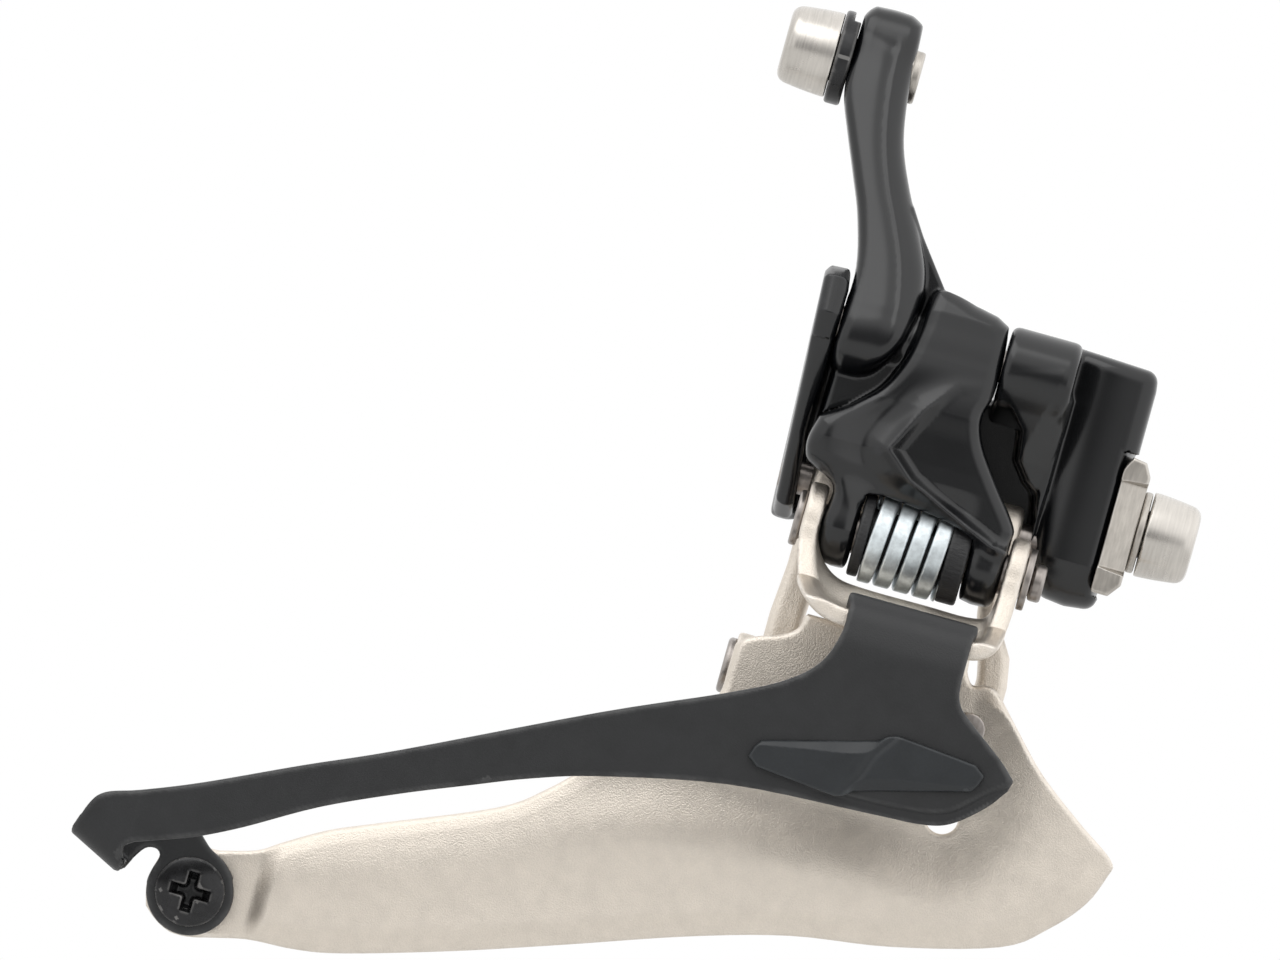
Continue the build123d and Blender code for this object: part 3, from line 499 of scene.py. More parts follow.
piece("fixing_bolt", "body", TURNED_STEEL, cap_bolt("fixing_bolt", FIXING_HEAD, 1), 0.17)
piece("cable_bolt", "outer_link", TURNED_STEEL, cap_bolt("cable_bolt", CABLE_HEAD, -1), 0.17)
for which in ("low_limit_screw", "high_limit_screw"):
    piece(which, which, STEEL, limit_screw(which), 0.17)
for which in ("upper_outer_pin", "upper_inner_pin"):
    piece(which, "body", PIN_STEEL, plain_pin(which), 0.2)
piece("lower_inner_pin", "cage", PIN_STEEL, headed_pin("lower_inner_pin", 1.5), 0.17)


def fixing_washer(x, y, z):
    """Split spring washer: the gap runs slanting through the ring."""
    low, high = node_box("fixing_washer")
    middle_r, wire, gap_width = 3.38, 1.34, 0.36
    ring = smax(np.abs(np.hypot(y, z) - middle_r) - wire / 2, slab(x, low[0], high[0]), 0.25)
    gap = np.maximum(np.abs(y + (x - low[0]) * 0.6) - gap_width / 2, -z)
    return smax(ring, -gap, 0.1)


piece("fixing_washer", "body", STEEL, fixing_washer, 0.12)


def radius_washer(x, y, z):
    """Machined block with a concave rear face, cut back between its lugs."""
    low, high = node_box("radius_washer")
    half_width, rear_r, hole_r = 6.0, 15.0, 2.7
    side = polygon(x, z, [(-1.4, low[2]), (0.9, low[2]), (high[0], low[2] + 1.3), (high[0], high[2] - 1.5),
                          (1.2, high[2] - 0.2), (-0.2, high[2]), (-1.4, high[2] - 2.0)])
    block = smax(side, np.abs(y) - half_width, 0.35)
    block = bore(block, x, y, (0.3 - rear_r, 0), rear_r, 0.3)
    scoop = ramp((5.0 - np.abs(z - 0.1)) / 0.8)
    front = (x - 0.1) * 0.5 + (np.abs(y) - 5.3) * 0.85
    block = smax(block, front - 3 * (1 - scoop), 0.2)
    return bore(block, y, z, (0, 0), hole_r, 0.3)


piece("radius_washer", "body", STEEL, radius_washer, 0.16)

ANCHOR = node_centre("cable_washer", Y, Z)
CLAMP_X = node_box("cable_washer")[1][0]
CABLE_R = 0.65
CABLE_LINE = (CLAMP_X, ANCHOR[0] + 3.2)


def cable_washer(x, y, z):
    """Clamp washer with a cable groove and a notch at its top."""
    low, high = node_box("cable_washer")
    washer_r, hole_r, notch_width = 4.65, 2.6, 1.1
    plate = smax(disc(y, z, ANCHOR, washer_r), slab(x, low[0], high[0]), 0.35)
    notch = np.maximum(slab(x, CLAMP_X - 0.7, CLAMP_X + 1), np.abs(z - ANCHOR[1] - 4.3) - notch_width / 2)
    plate = smax(plate, -notch, 0.15)
    plate = bore(plate, y, z, ANCHOR, hole_r, 0.2)
    return bore(plate, x, y, CABLE_LINE, CABLE_R, 0.15)


piece("cable_washer", "outer_link", BLACKENED, cable_washer, 0.15)


def cable_insert(x, y, z):
    """Threaded bush pressed into the arm, with a flange cut square on two sides."""
    low, high = node_box("cable_insert")
    bush_r, flange_r, flange_half, hole_r = 3.4, 2.9, 2.6, 2.5
    arm_front = -31.0
    bush = smax(disc(y, z, ANCHOR, bush_r), slab(x, low[0], arm_front), 0.2)
    flange = smax(disc(y, z, ANCHOR, flange_r), np.abs(z - ANCHOR[1]) - flange_half, 0.3)
    flange = smax(flange, slab(x, arm_front - 0.3, high[0]), 0.3)
    return bore(smin(bush, flange, 0.15), y, z, ANCHOR, hole_r, 0.15)


piece("cable_insert", "outer_link", STEEL, cable_insert, 0.15)

# ------------ return spring and sleeve

SPRING_R = 3.75
SPRING_PITCH = 1.95
WIRE_ALONG, WIRE_ACROSS = 1.62, 1.36


def return_spring(x, y, z):
    """Coil of rectangular wire, with the front of each turn leaning towards the bolt."""
    low, high = node_box("return_spring")
    u, v = y - LOWER_OUTER[0], z - LOWER_OUTER[1]
    r = np.hypot(u, v)
    start = low[0] + 0.75
    turn = (x - start) / SPRING_PITCH + np.arctan2(v, u) / (2 * math.pi) + 0.5
    off = (turn - np.floor(turn) - 0.5) * SPRING_PITCH
    wire = smax(np.abs(off) - WIRE_ALONG / 2, np.abs(r - SPRING_R) - WIRE_ACROSS / 2, 0.28)
    return smax(wire, slab(x, start, high[0] - 0.5), 0.2)


piece("return_spring", "outer_link", ZINC, return_spring, 0.17)


def spring_sleeve(x, y, z):
    """Tube inside the spring, with a flange at each end."""
    low, high = node_box("spring_sleeve")
    tube_r, rear_r, front_r, hole_r = 2.8, 4.1, 4.3, 2.05
    tube = smax(disc(y, z, LOWER_OUTER, tube_r), slab(x, low[0], high[0]), 0.2)
    rear = smax(disc(y, z, LOWER_OUTER, rear_r), slab(x, low[0], low[0] + 1.1), 0.3)
    front = smax(disc(y, z, LOWER_OUTER, front_r), slab(x, high[0] - 2.1, high[0]), 0.4)
    return bore(np.minimum(tube, np.minimum(rear, front)), y, z, LOWER_OUTER, hole_r, 0.1)


piece("spring_sleeve", "outer_link", PLASTIC, spring_sleeve, 0.18)

# ------------ body casting

FACE_R = 14.0
BOLT_BORE_R, PIN_BORE_R, LIMIT_BORE_R = 2.5, 1.62, 1.95


def rear_ear(x, y, z):
    """Rear ear, with a rounded cap and a facet below its top."""
    ear_outline = [(-34.0, 16.3), (-33.6, 17.2), (-31.6, 17.4), (-31.3, 15.0), (-31.5, 1.0),
                   (-31.0, -4.0), (-30.6, -8.6), (-32.6, -8.6), (-33.0, -2.0)]
    ear_profile = [(-13.3, 12.6), (-12.2, 16.2), (-9.0, 17.5), (-6.0, 16.4), (1.2, 12.4), (6.0, 10.8),
                   (6.0, -6.0), (2.0, -7.8), (-3.0, -7.9), (-6.3, -6.6), (-7.3, -4.0), (-12.6, 9.8)]
    ear = smax(polygon(x, z, ear_outline), polygon(y, z, ear_profile), 1.1)
    facet = (x + 33.3) * -0.35 + (z - 10.0) * -0.1 - (y + 12.0) * 0.9
    return smax(ear, np.where(z < 10.0, facet * 0.9 - 0.1, -1.0), 0.4)


def far_web(x, y, z):
    """Web along the far side, which joins the ear to the block."""
    outline = [(-32.4, -7.5), (-32.6, 12.0), (-31.0, 13.2), (-24.0, 13.2), (-20.5, 8.6), (-15.0, 8.6),
               (-10.0, 12.0), (-4.0, 12.0), (-4.0, -7.5)]
    return smax(polygon(x, z, outline), slab(y, 1.2, 6.0), 1.0)


def front_block(x, y, z):
    """Block behind the mounting face, with a soft ridge along its near rear edge."""
    block_outline = [(-7.9, 14.5), (-1.1, 14.2), (-1.0, 13.5), (-1.0, -6.6), (-1.2, -7.4), (-2.9, -7.6),
                     (-4.6, -7.4), (-5.6, -6.0), (-6.4, -3.0), (-6.8, -0.2), (-7.7, 3.0)]
    block = polygon(x, z, block_outline) - 1.25
    near = -6.0 + 0.15 * np.logaddexp(0, x + 4.5) + 0.5 * np.logaddexp(0, (-5.6 - x) * 1.5) / 1.5
    near = near + 0.3 * np.maximum(-4.6 - z, 0) ** 1.4
    return smax(block, np.maximum((near - y) * 0.87, y - 6.0), 1.6)


def front_knuckle(x, y, z):
    """Knuckle around the front end of the upper outer pin."""
    arm = polygon(y, z, [(-9.0, 8.0), (-9.0, 16.0), (0.5, 14.5), (0.5, 6.5)])
    return smax(np.minimum(disc(y, z, UPPER_OUTER, 4.1), arm), slab(x, -14.9, -7.8), 0.9)


def knuckle_gusset(x, y, z):
    """Folded gusset below the knuckle."""
    outline = [(-14.5, 11.5), (-14.4, 9.9), (-13.2, 8.4), (-11.5, 6.4), (-11.1, 3.6), (-9.7, 1.8),
               (-8.5, 0.9), (-7.9, -1.6), (-7.6, -4.2), (-7.4, 2.0), (-7.4, 10.5), (-9.0, 13.0)]
    lean = -12.8 + 0.6 * np.maximum(10.4 - z, 0) - 0.35 * np.maximum(3.6 - z, 0)
    fold = (x + 11.1) * 0.973 - (z - 3.4) * 0.23
    lean = np.minimum(lean + 0.6 * np.clip(fold, 0, 3.0), -5.6)
    return smax(polygon(x, z, outline), np.maximum((lean - y) * 0.8, y - 5.5), 0.7)


def body_casting(x, y, z):
    """The body, with its curved mounting face, bores and screw holes."""
    cast = smin(smin(rear_ear(x, y, z), far_web(x, y, z), 1.2), front_block(x, y, z), 0.8)
    cast = smin(cast, front_knuckle(x, y, z), 0.7)
    cast = smin(cast, knuckle_gusset(x, y, z), 0.5)
    face_half_height, bolt_bore_end = 7.25, -7.6
    face = np.hypot(np.maximum(x + FACE_R, 0), y) - FACE_R
    cast = smax(cast, np.where(np.abs(z) < face_half_height, face, -9.0), 0.4)
    for centre, bore_end in ((UPPER_OUTER, -9.2), (UPPER_INNER, -3.0)):
        cast = smax(cast, -np.maximum(disc(y, z, centre, PIN_BORE_R), x - bore_end), 0.15)
    cast = smax(cast, -np.maximum(disc(y, z, (0, 0), BOLT_BORE_R), bolt_bore_end - x), 0.2)
    for screw in ("low_limit_screw", "high_limit_screw"):
        hole = disc(x, z, node_centre(screw, X, Z), LIMIT_BORE_R)
        cast = smax(cast, -np.maximum(hole, -y), 0.2)
    return cast


piece("body", "body", PAINT, body_casting, 0.26)

# ------------ outer link with cable arm

LINK_EDGE = (
    curve((-15.3, 15.8), (-15.0, 12.6), (-15.0, 9.0), (-15.5, 6.5), (-14.7, 4.0), (-12.4, 0.7),
          (-9.8, -2.7), (-9.6, -4.4), (-9.7, -9.8), (-9.9, -11.4))
    + [(-11.8, -11.6), (-13.2, -11.1), (-13.5, -6.3), (-15.8, -5.3), (-22.9, -3.8), (-23.9, -3.9),
       (-24.4, -4.6), (-24.3, -11.5)]
    + curve((-26.0, -11.6), (-27.4, -10.6), (-27.9, -7.0), (-27.7, -3.6), (-30.5, -2.0), (-31.2, -0.9),
            (-31.3, 0.6), (-30.8, 2.7))
    + curve((-28.1, 4.6), (-25.8, 6.8), (-24.5, 9.4), (-23.7, 13.2), (-23.2, 17.2), (-22.0, 18.0))
    + [(-20.5, 17.6), (-18.9, 17.0), (-16.6, 16.5)]
)
FACET = [(-23.4, 1.3), (-21.0, 6.2), (-18.6, 9.2), (-14.0, 10.5), (-7.0, 2.0), (-7.0, -6.0), (-11.4, -5.2),
         (-16.0, -3.2), (-20.6, -1.2)]
LINK_PROFILE = [(-11.0, 18.0), (-12.2, 15.5), (-13.3, 11.0), (-14.4, 6.0), (-14.9, 1.0), (-14.7, -7.4),
                (-10.7, -7.4), (-9.4, -4.2), (-9.4, 7.0), (-5.4, 10.5), (-7.0, 18.0)]
ARM_EDGE = (
    curve((-36.9, 41.4), (-37.0, 36.0), (-36.7, 33.2), (-35.4, 29.8), (-33.9, 26.2), (-32.4, 22.4),
          (-31.2, 17.6), (-31.2, 13.0), (-31.2, 7.4))
    + curve((-30.6, 6.6), (-28.7, 6.8), (-27.3, 7.8), (-25.9, 9.8), (-24.8, 12.2), (-24.2, 15.6),
            (-24.6, 18.8), (-26.2, 22.4), (-28.2, 26.2), (-29.8, 30.0), (-30.6, 34.0), (-30.9, 38.4),
            (-31.1, 42.0))
    + curve((-32.2, 43.1), (-34.0, 43.3), (-36.2, 43.0))
)
CREASE = curve((-33.2, 40.0), (-32.9, 35.0), (-32.1, 30.4), (-30.6, 26.0), (-28.8, 22.2), (-27.3, 18.4),
               (-26.5, 14.0), (-26.6, 9.0))
ARM_LENGTH = np.linalg.norm(ANCHOR - UPPER_OUTER)
ARM_WAY = (ANCHOR - UPPER_OUTER) / ARM_LENGTH
SPRING_POCKET_R = 4.65
LINK_BORE_R, HINGE_BORE_R, INSERT_BORE_R = 1.65, 2.05, 3.42


def ahead_of(x, z, path):
    """How far ahead of a path that runs down the arm, negative behind it."""
    return x - np.interp(z, [p[1] for p in path][::-1], [p[0] for p in path][::-1])


def link_relief(x, z):
    """How far the link's near face stands out, in millimetres."""
    s = polygon(x, z, FACET)
    off = np.sqrt(s**2 + 0.06) - 0.24
    outside = 0.5 - 1.5 * (1 - (1 - np.clip(off / 2.8, 0, 1)) ** 2) + 1.2 * ramp((s - 2.4) / 4.0)
    depth = np.clip(0.11 * (8.5 - np.maximum(z, 1.0)), 0, 0.9)
    inside = 0.5 - (0.5 + depth) * (1 - (1 - np.clip(off / 1.1, 0, 1)) ** 2)
    vee = np.where(s > 0, outside, inside) * ramp((10.5 - z) / 7.0)
    swell = 0.5 * np.exp(-((x + 28.4) ** 2 + (z - 1.5) ** 2) / 9.0)
    turn_under = 0.5 * ramp((-0.6 - z) / 2.2) * ramp((-13.0 - x) / 3.0)
    return vee + swell - turn_under


def arm_shape(x, y, z):
    """Cable arm: two facets meet at a crease along its near side."""
    side = ahead_of(x, z, CREASE)
    along = (y - UPPER_OUTER[0]) * ARM_WAY[0] + (z - UPPER_OUTER[1]) * ARM_WAY[1]
    across = (y - UPPER_OUTER[0]) * ARM_WAY[1] - (z - UPPER_OUTER[1]) * ARM_WAY[0]
    roof = np.where(side < 0, 0.10, 0.36) * (np.sqrt(side**2 + 0.1) - 0.3)
    groove = 0.16 * np.exp(-np.where(side > 0, side / 0.3, side / 0.8) ** 2)
    wedge = [(-35.9, 40.0), (-33.4, 39.3)]
    groove = groove + 0.22 * np.exp(-(stroke(x, z, wedge) / 0.5) ** 2)
    near = -across - 4.6 + (roof + groove) * ramp((41.0 - z) / 4.0)
    far = across - 3.6 - 0.6 * np.clip(along / ARM_LENGTH, 0, 1)
    bar = np.maximum(far, slab(along, 0, ARM_LENGTH))
    bar = smin(bar, np.minimum(disc(y, z, UPPER_OUTER, 5.0), disc(y, z, ANCHOR, 6.0)), 1.0)
    bar = smax(bar, near, 1.0)
    bar = smax(bar, -(y + 13.7), 0.5)
    return smax(polygon(x, z, ARM_EDGE), bar * 0.95, 1.3)


def link_lever(x, y, z):
    """The link itself, from the upper pin to the lower one."""
    relief = link_relief(x, z) * ramp((-9.6 - y) / 1.6)
    profile = smin(polygon(y + relief, z, LINK_PROFILE),
                   np.minimum(disc(y, z, LOWER_OUTER, 4.0), disc(y, z, UPPER_OUTER, 3.4)), 0.8)
    return smax(polygon(x, z, LINK_EDGE), profile * 0.9, 1.5)


def outer_link(x, y, z):
    """Link and cable arm, joined by the barrel, a floor between them and a rib above."""
    barrel = smax(disc(y, z, UPPER_OUTER, 2.7), slab(x, -31.0, -15.4), 0.4)
    floor = smax(polygon(x, z, [(-30.6, 3.0), (-30.6, 9.0), (-24.0, 13.0), (-23.0, 8.0)]),
                 slab(y, -10.4, -6.4), 0.6)
    rib = smax(polygon(x, z, [(-27.4, 24.5), (-25.6, 22.0), (-23.6, 19.4), (-21.9, 17.2), (-23.5, 12.0),
                              (-28.5, 12.0), (-28.5, 20.0)]), slab(y, -7.2, -3.4), 0.5)
    solid = smin(link_lever(x, y, z), arm_shape(x, y, z), 0.25)
    solid = smin(solid, smin(barrel, smin(floor, rib, 0.6), 0.6), 0.5)
    solid = bore(solid, y, z, UPPER_OUTER, LINK_BORE_R, 0.15)
    solid = bore(solid, y, z, LOWER_OUTER, HINGE_BORE_R, 0.15)
    pocket = np.maximum(disc(y, z, LOWER_OUTER, SPRING_POCKET_R), slab(x, -24.3, -13.2))
    solid = smax(solid, -pocket, 0.3)
    # Bore for the insert, with its shoulder, and the cable groove.
    shoulder = -35.4
    solid = bore(solid, y, z, ANCHOR, np.where(x < shoulder, BOLT_BORE_R, INSERT_BORE_R), 0.15)
    return bore(solid, x, y, CABLE_LINE, CABLE_R, 0.15)


piece("outer_link", "outer_link", PAINT, outer_link, 0.27)

# ------------ inner link

LOWER_EYE_R = 1.6


def inner_link(x, y, z):
    """Pressed link with a window, and an eye at each end."""
    bar = polygon(y, z, [(-4.8, -3.7), (-1.4, -3.7), (-3.3, -23.1), (-6.3, -23.1)])
    bar = smin(bar, disc(y, z, UPPER_INNER, 3.2), 1.5)
    bar = smin(bar, disc(y, z, LOWER_INNER, 2.6), 1.5)
    outline = [(-29.9, -0.3), (-8.9, -0.3), (-8.9, -10.0), (-8.2, -12.6), (-6.6, -15.2), (-6.1, -18.0),
               (-6.1, -25.9), (-30.3, -25.9), (-30.3, -17.0), (-29.9, -12.0)]
    window = curve((-26.4, -7.6), (-19.0, -7.4), (-11.9, -7.7), (-10.8, -12.0), (-9.5, -16.4),
                   (-9.4, -19.0), (-12.0, -20.0), (-24.0, -20.0), (-26.7, -18.6), (-26.6, -12.0))
    link = smax(polygon(x, z, outline), bar, 1.1)
    link = smax(link, -polygon(x, z, window), 1.0)
    link = bore(link, y, z, UPPER_INNER, LINK_BORE_R, 0.15)
    return bore(link, y, z, LOWER_INNER, LOWER_EYE_R, 0.15)


piece("inner_link", "inner_link", NICKEL, inner_link, 0.28)

# ------------ inner cage plate

TAIL = node_centre("tail_screw", X, Z)
TAIL_BORE_R, TAIL_END_R, TAB_END_R = 2.1, 4.3, 4.26
PANEL_BOTTOM = curve((8.4, -32.2), (6.9, -36.0), (4.0, -39.4), (-0.1, -42.4), (-10.3, -45.2), (-20.1, -46.8),
                     (-29.6, -49.5), (-41.3, -53.6), (-51.0, -56.9), (-61.3, -60.0), (-66.0, -60.9),
                     (-70.7, -61.2), (-75.2, -62.2), (-78.2, -62.3))
PANEL_TOP = curve((-75.6, -53.6), (-72.1, -52.6), (-69.9, -51.2), (-66.0, -48.9), (-61.4, -46.9),
                  (-50.8, -42.4), (-46.5, -39.3), (-43.0, -35.8))
PANEL_EDGE = (
    PANEL_TOP
    + curve((-36.0, -29.0), (-32.8, -26.0), (-32.5, -23.0), (-32.2, -20.5), (-30.6, -19.5), (-28.6, -18.8),
            (-27.3, -17.8), (-26.8, -16.2))
    + [(-10.4, -16.2)]
    + curve((-10.3, -17.6), (-9.5, -18.6), (-8.2, -18.3), (-6.9, -18.7), (-4.3, -21.4), (-0.7, -25.1),
            (3.8, -28.5), (7.4, -30.9), (8.4, -31.9))
    + PANEL_BOTTOM
    + [(-81.0, -60.6), (-81.0, -54.6), (-78.0, -53.8)]
)
PLATEAU = (
    curve((-84.0, -50.4), (-75.0, -50.8), (-70.0, -49.8), (-61.0, -46.8), (-51.0, -42.8), (-45.0, -39.4),
          (-37.0, -36.6), (-30.5, -36.0), (-23.0, -35.6), (-15.3, -35.3), (-8.5, -35.7), (-4.4, -33.6),
          (-2.5, -30.6), (-2.5, -27.2), (-4.2, -23.7), (-7.0, -20.0))
    + [(14.0, -20.0), (14.0, -70.0), (-82.0, -70.0)]
)
INNER_SHEET = 1.8
TAIL_FACE = -12.0
RIVETS = (-20.5, -13.7)
RIVET_LINE = -17.5
RIVET_BORE_R = 1.25
BRACKET_RIVET = (-8.7, -22.9)
BRACKET_RIVET_BORE_R = 1.4
INNER_HINGE_BORE_R, COLLAR_BORE_R = 1.52, 2.02
LIGHT_HOLE = (-8.9, -31.8)
LIGHT_HOLE_R = 1.6


def panel_middle(x, z):
    """Y of the inner plate's middle surface."""
    edge_y, dome, slope_width = -10.6, 1.9, 7.6
    plateau = ramp((2.0 - polygon(x, z, PLATEAU)) / slope_width)
    plateau = 1 - (1 - plateau) * (1 - 0.6 * ramp((x + 9.0) / 9.0))
    middle = edge_y - dome * plateau
    tail = ramp((-69.4 - x) / 2.2)
    middle = middle * (1 - tail) + (TAIL_FACE + INNER_SHEET / 2) * tail
    rim = ramp(1 - stroke(x, z, PANEL_BOTTOM) / 2.6)
    top_rim = ramp(1 - stroke(x, z, PANEL_TOP) / 1.6)
    return middle + (0.75 * rim + 0.18 * top_rim) * (1 - tail)


COLLAR_PATH = curve((-28.8, -3.4), (-28.8, -8.0), (-28.7, -11.0), (-27.4, -13.6), (-25.2, -15.2),
                    (-22.0, -15.6), (-16.0, -15.6), (-11.6, -15.6), (-9.4, -14.9), (-8.6, -12.8),
                    (-8.5, -9.0), (-8.5, -3.4))


def inner_panel(x, y, z):
    """The plate that the chain runs beside, with its holes."""
    outline = smin(polygon(x, z, PANEL_EDGE), disc(x, z, TAIL, TAIL_END_R), 0.6)
    sheet = (np.abs(y - panel_middle(x, z)) - INNER_SHEET / 2) * 0.88
    plate = smax(outline, sheet, 0.55)
    plate = bore(plate, x, z, LIGHT_HOLE, LIGHT_HOLE_R, 0.4)
    plate = bore(plate, x, z, BRACKET_RIVET, BRACKET_RIVET_BORE_R, 0.2)
    return bore(plate, x, z, TAIL, TAIL_BORE_R, 0.2)


def hinge_collar(x, y, z):
    """Two ears joined by a shelf, folded towards the outer plate."""
    rise = 2.3 * ramp((y + 17.5) / 4.5)
    strip = (stroke(x, z - rise, COLLAR_PATH) - INNER_SHEET / 2) * 0.87
    side = [(LOWER_OUTER[0] - 3.7, -8.3), (-16.5, -12.6), (-21.8, -14.4), (-21.9, -18.0), (-10.0, -18.0),
            (-10.0, -11.6), (LOWER_OUTER[0] + 3.7, -8.3)]
    reach = smin(polygon(y, z, side), disc(y, z, LOWER_OUTER, 3.8), 1.2)
    return smax(strip, reach, 0.5)


def inner_hinge_ear(x, y, z):
    """Ear of the lower inner pivot."""
    ear = smin(polygon(y, z, [(-10.6, -20.9), (-4.8, -19.9), (-4.8, -26.4), (-10.6, -25.8)]),
               disc(y, z, LOWER_INNER, 3.4), 0.6)
    return smax(ear, slab(x, -32.6, -30.8), 0.45)


def inner_plate(x, y, z):
    """Panel, collar and hinge ear, with the pivots' and rivets' bores."""
    cage = smin(inner_panel(x, y, z), hinge_collar(x, y, z), 0.9)
    cage = smin(cage, inner_hinge_ear(x, y, z), 0.9)
    cage = smax(cage, np.minimum(-disc(y, z, LOWER_OUTER, COLLAR_BORE_R), z + 12), 0.15)
    cage = bore(cage, y, z, LOWER_INNER, INNER_HINGE_BORE_R, 0.15, x < -28)
    for rivet in RIVETS:
        cage = bore(cage, x, y, (rivet, RIVET_LINE), RIVET_BORE_R, 0.1, z > -17.5)
    return cage


piece("inner_plate", "cage", NICKEL, inner_plate, 0.31)

# ------------ outer cage plate

PLATE_EDGE = (
    [(-23.2, -12.6)]
    + curve((-23.1, -14.4), (-23.2, -17.3), (-24.4, -20.4), (-27.3, -23.0), (-32.7, -25.8), (-43.6, -30.7),
            (-61.3, -39.4), (-69.9, -43.3), (-78.8, -47.5), (-84.4, -49.8), (-87.6, -50.9), (-88.9, -52.4),
            (-89.9, -55.6))
    + [(-84.6, -58.2), (-84.5, -55.4)]
    + curve((-83.6, -54.8), (-80.2, -53.6), (-77.7, -52.6), (-73.8, -50.6), (-67.3, -46.8), (-60.2, -43.5),
            (-53.9, -40.9), (-48.4, -38.7), (-42.0, -36.7), (-29.6, -34.1), (-15.7, -33.2), (-10.9, -32.9),
            (-8.1, -32.1), (-5.3, -29.8), (-3.6, -27.6))
    + curve((-3.3, -26.5), (-5.0, -24.9), (-8.9, -22.0), (-10.3, -20.6), (-10.7, -18.6), (-10.7, -14.4))
    + [(-10.7, -12.6)]
)
FOLD_FROM, FOLD_TO = np.array((-89.9, -55.6)), np.array((-84.6, -58.2))
FOLD_LENGTH = np.linalg.norm(FOLD_TO - FOLD_FROM)
FOLD_WAY = (FOLD_TO - FOLD_FROM) / FOLD_LENGTH
FOLD_IN = np.array((-FOLD_WAY[1], FOLD_WAY[0]))
OUTER_SHEET = 1.5
OUTER_FACE = node_box("outer_plate")[0][1]
TAB_EDGE = (
    [tuple(FOLD_FROM), tuple(FOLD_TO)]
    + curve((-84.0, -57.6), (-83.4, -56.4), (-82.5, -55.2), (-81.4, -55.1), (-81.0, -56.0), (-81.4, -58.2))
    + [(-77.3, -58.2), (-73.7, -55.8)]
    + curve((-74.9, -54.6), (-76.5, -53.6), (-77.8, -52.4))
    + [(-80.0, -51.4), (-86.0, -52.4), (-89.2, -53.4)]
)
SHELF_TOP = -14.7
STEP_LINE = curve((-24.0, -31.8), (-18.0, -31.9), (-12.0, -31.6), (-8.6, -30.8), (-5.6, -28.2), (-3.4, -26.6))


def plate_sheet(x, y, z):
    """The flat of the plate: near its neck it leans back, then folds over the collar's shelf."""
    lean = 0.34 * np.logaddexp(0, (z + 17.6) * 1.6) / 1.6
    near = smax((OUTER_FACE + lean - y) * 0.95, z - SHELF_TOP - OUTER_SHEET, 2.4)
    near = smax(near, y - OUTER_FACE - lean - OUTER_SHEET, 0.3)
    flat = smax(polygon(x, z, PLATE_EDGE), near, 0.45)
    neck = smax(polygon(x, y, [(-23.2, -20.9), (-23.2, -13.8), (-10.7, -13.8), (-10.7, -20.9)]),
                slab(z, SHELF_TOP, SHELF_TOP + OUTER_SHEET), 0.5)
    flat = smin(flat, neck, 1.0)
    # Rolled lower edge under the pad.
    margin = stroke(x, z, STEP_LINE)
    below = np.where(polygon(x, z, STEP_LINE + [(4.0, -27.0), (4.0, -36.0), (-24.0, -36.0)]) < 0, 1.0, 0.0)
    below = below * ramp((x + 24.0) / 5.0)
    return smax(flat, (OUTER_FACE + 0.45 * ramp(margin / 0.5) * below - y) * 0.9, 0.15)


def outer_plate(x, y, z):
    """The sheet, its tail folded across the cage and then back as a tab on the inner plate."""
    fold = (x - FOLD_FROM[0]) * FOLD_IN[0] + (z - FOLD_FROM[1]) * FOLD_IN[1]
    along = (x - FOLD_FROM[0]) * FOLD_WAY[0] + (z - FOLD_FROM[1]) * FOLD_WAY[1]
    depth = slab(y, OUTER_FACE, TAIL_FACE)
    wall = smax(np.maximum(slab(fold, 0, OUTER_SHEET), slab(along, 0, FOLD_LENGTH)), depth, 0.3)
    tab = smin(polygon(x, z, TAB_EDGE), disc(x, z, TAIL, TAB_END_R), 0.5)
    tab = smax(tab, slab(y, TAIL_FACE - OUTER_SHEET, TAIL_FACE), 0.4)
    made = smin(smin(plate_sheet(x, y, z), wall, 0.8), tab, 0.5)
    # The fold's edge is rounded where the tab turns away from it.
    made = np.where(x < -84.3, smax(made, smax(-fold, depth, 3.0), 0.2), made)
    made = bore(made, x, z, TAIL, TAIL_BORE_R, 0.2)
    for rivet in RIVETS:
        made = bore(made, x, y, (rivet, RIVET_LINE), RIVET_BORE_R, 0.1, z > -17)
    # Slot for the pad's key.
    slot = polygon(x, z, [(-21.6, -28.9), (-13.4, -26.9), (-13.9, -29.1), (-21.0, -31.0)])
    return smax(made, -slot, 0.2)


piece("outer_plate", "cage", SATIN, outer_plate, 0.31)

# ------------ wear pad

PAD_LOW, PAD_HIGH = node_box("wear_pad")
PAD_CENTRE = node_centre("wear_pad", X, Z) - (0, 0.1)
PAD_TILT = math.radians(15.5)
PAD_HALF = [(-11.4, 1.0), (-10.8, 1.9), (-10.1, 2.5), (1.2, 2.45), (2.2, 2.85), (3.1, 2.9), (8.4, 0.9),
            (10.6, 0.05)]
PAD_EDGE = PAD_HALF + [(-u, -v) for u, v in PAD_HALF]
PAD_FACET = curve((-10.6, 2.1), (-6.0, 1.7), (-1.6, 1.25), (0.6, 1.5), (1.8, 2.6))
PAD_SPLIT = curve((3.1, 3.0), (1.0, 1.3), (0.0, 0.0), (-1.0, -1.3), (-3.1, -3.0))


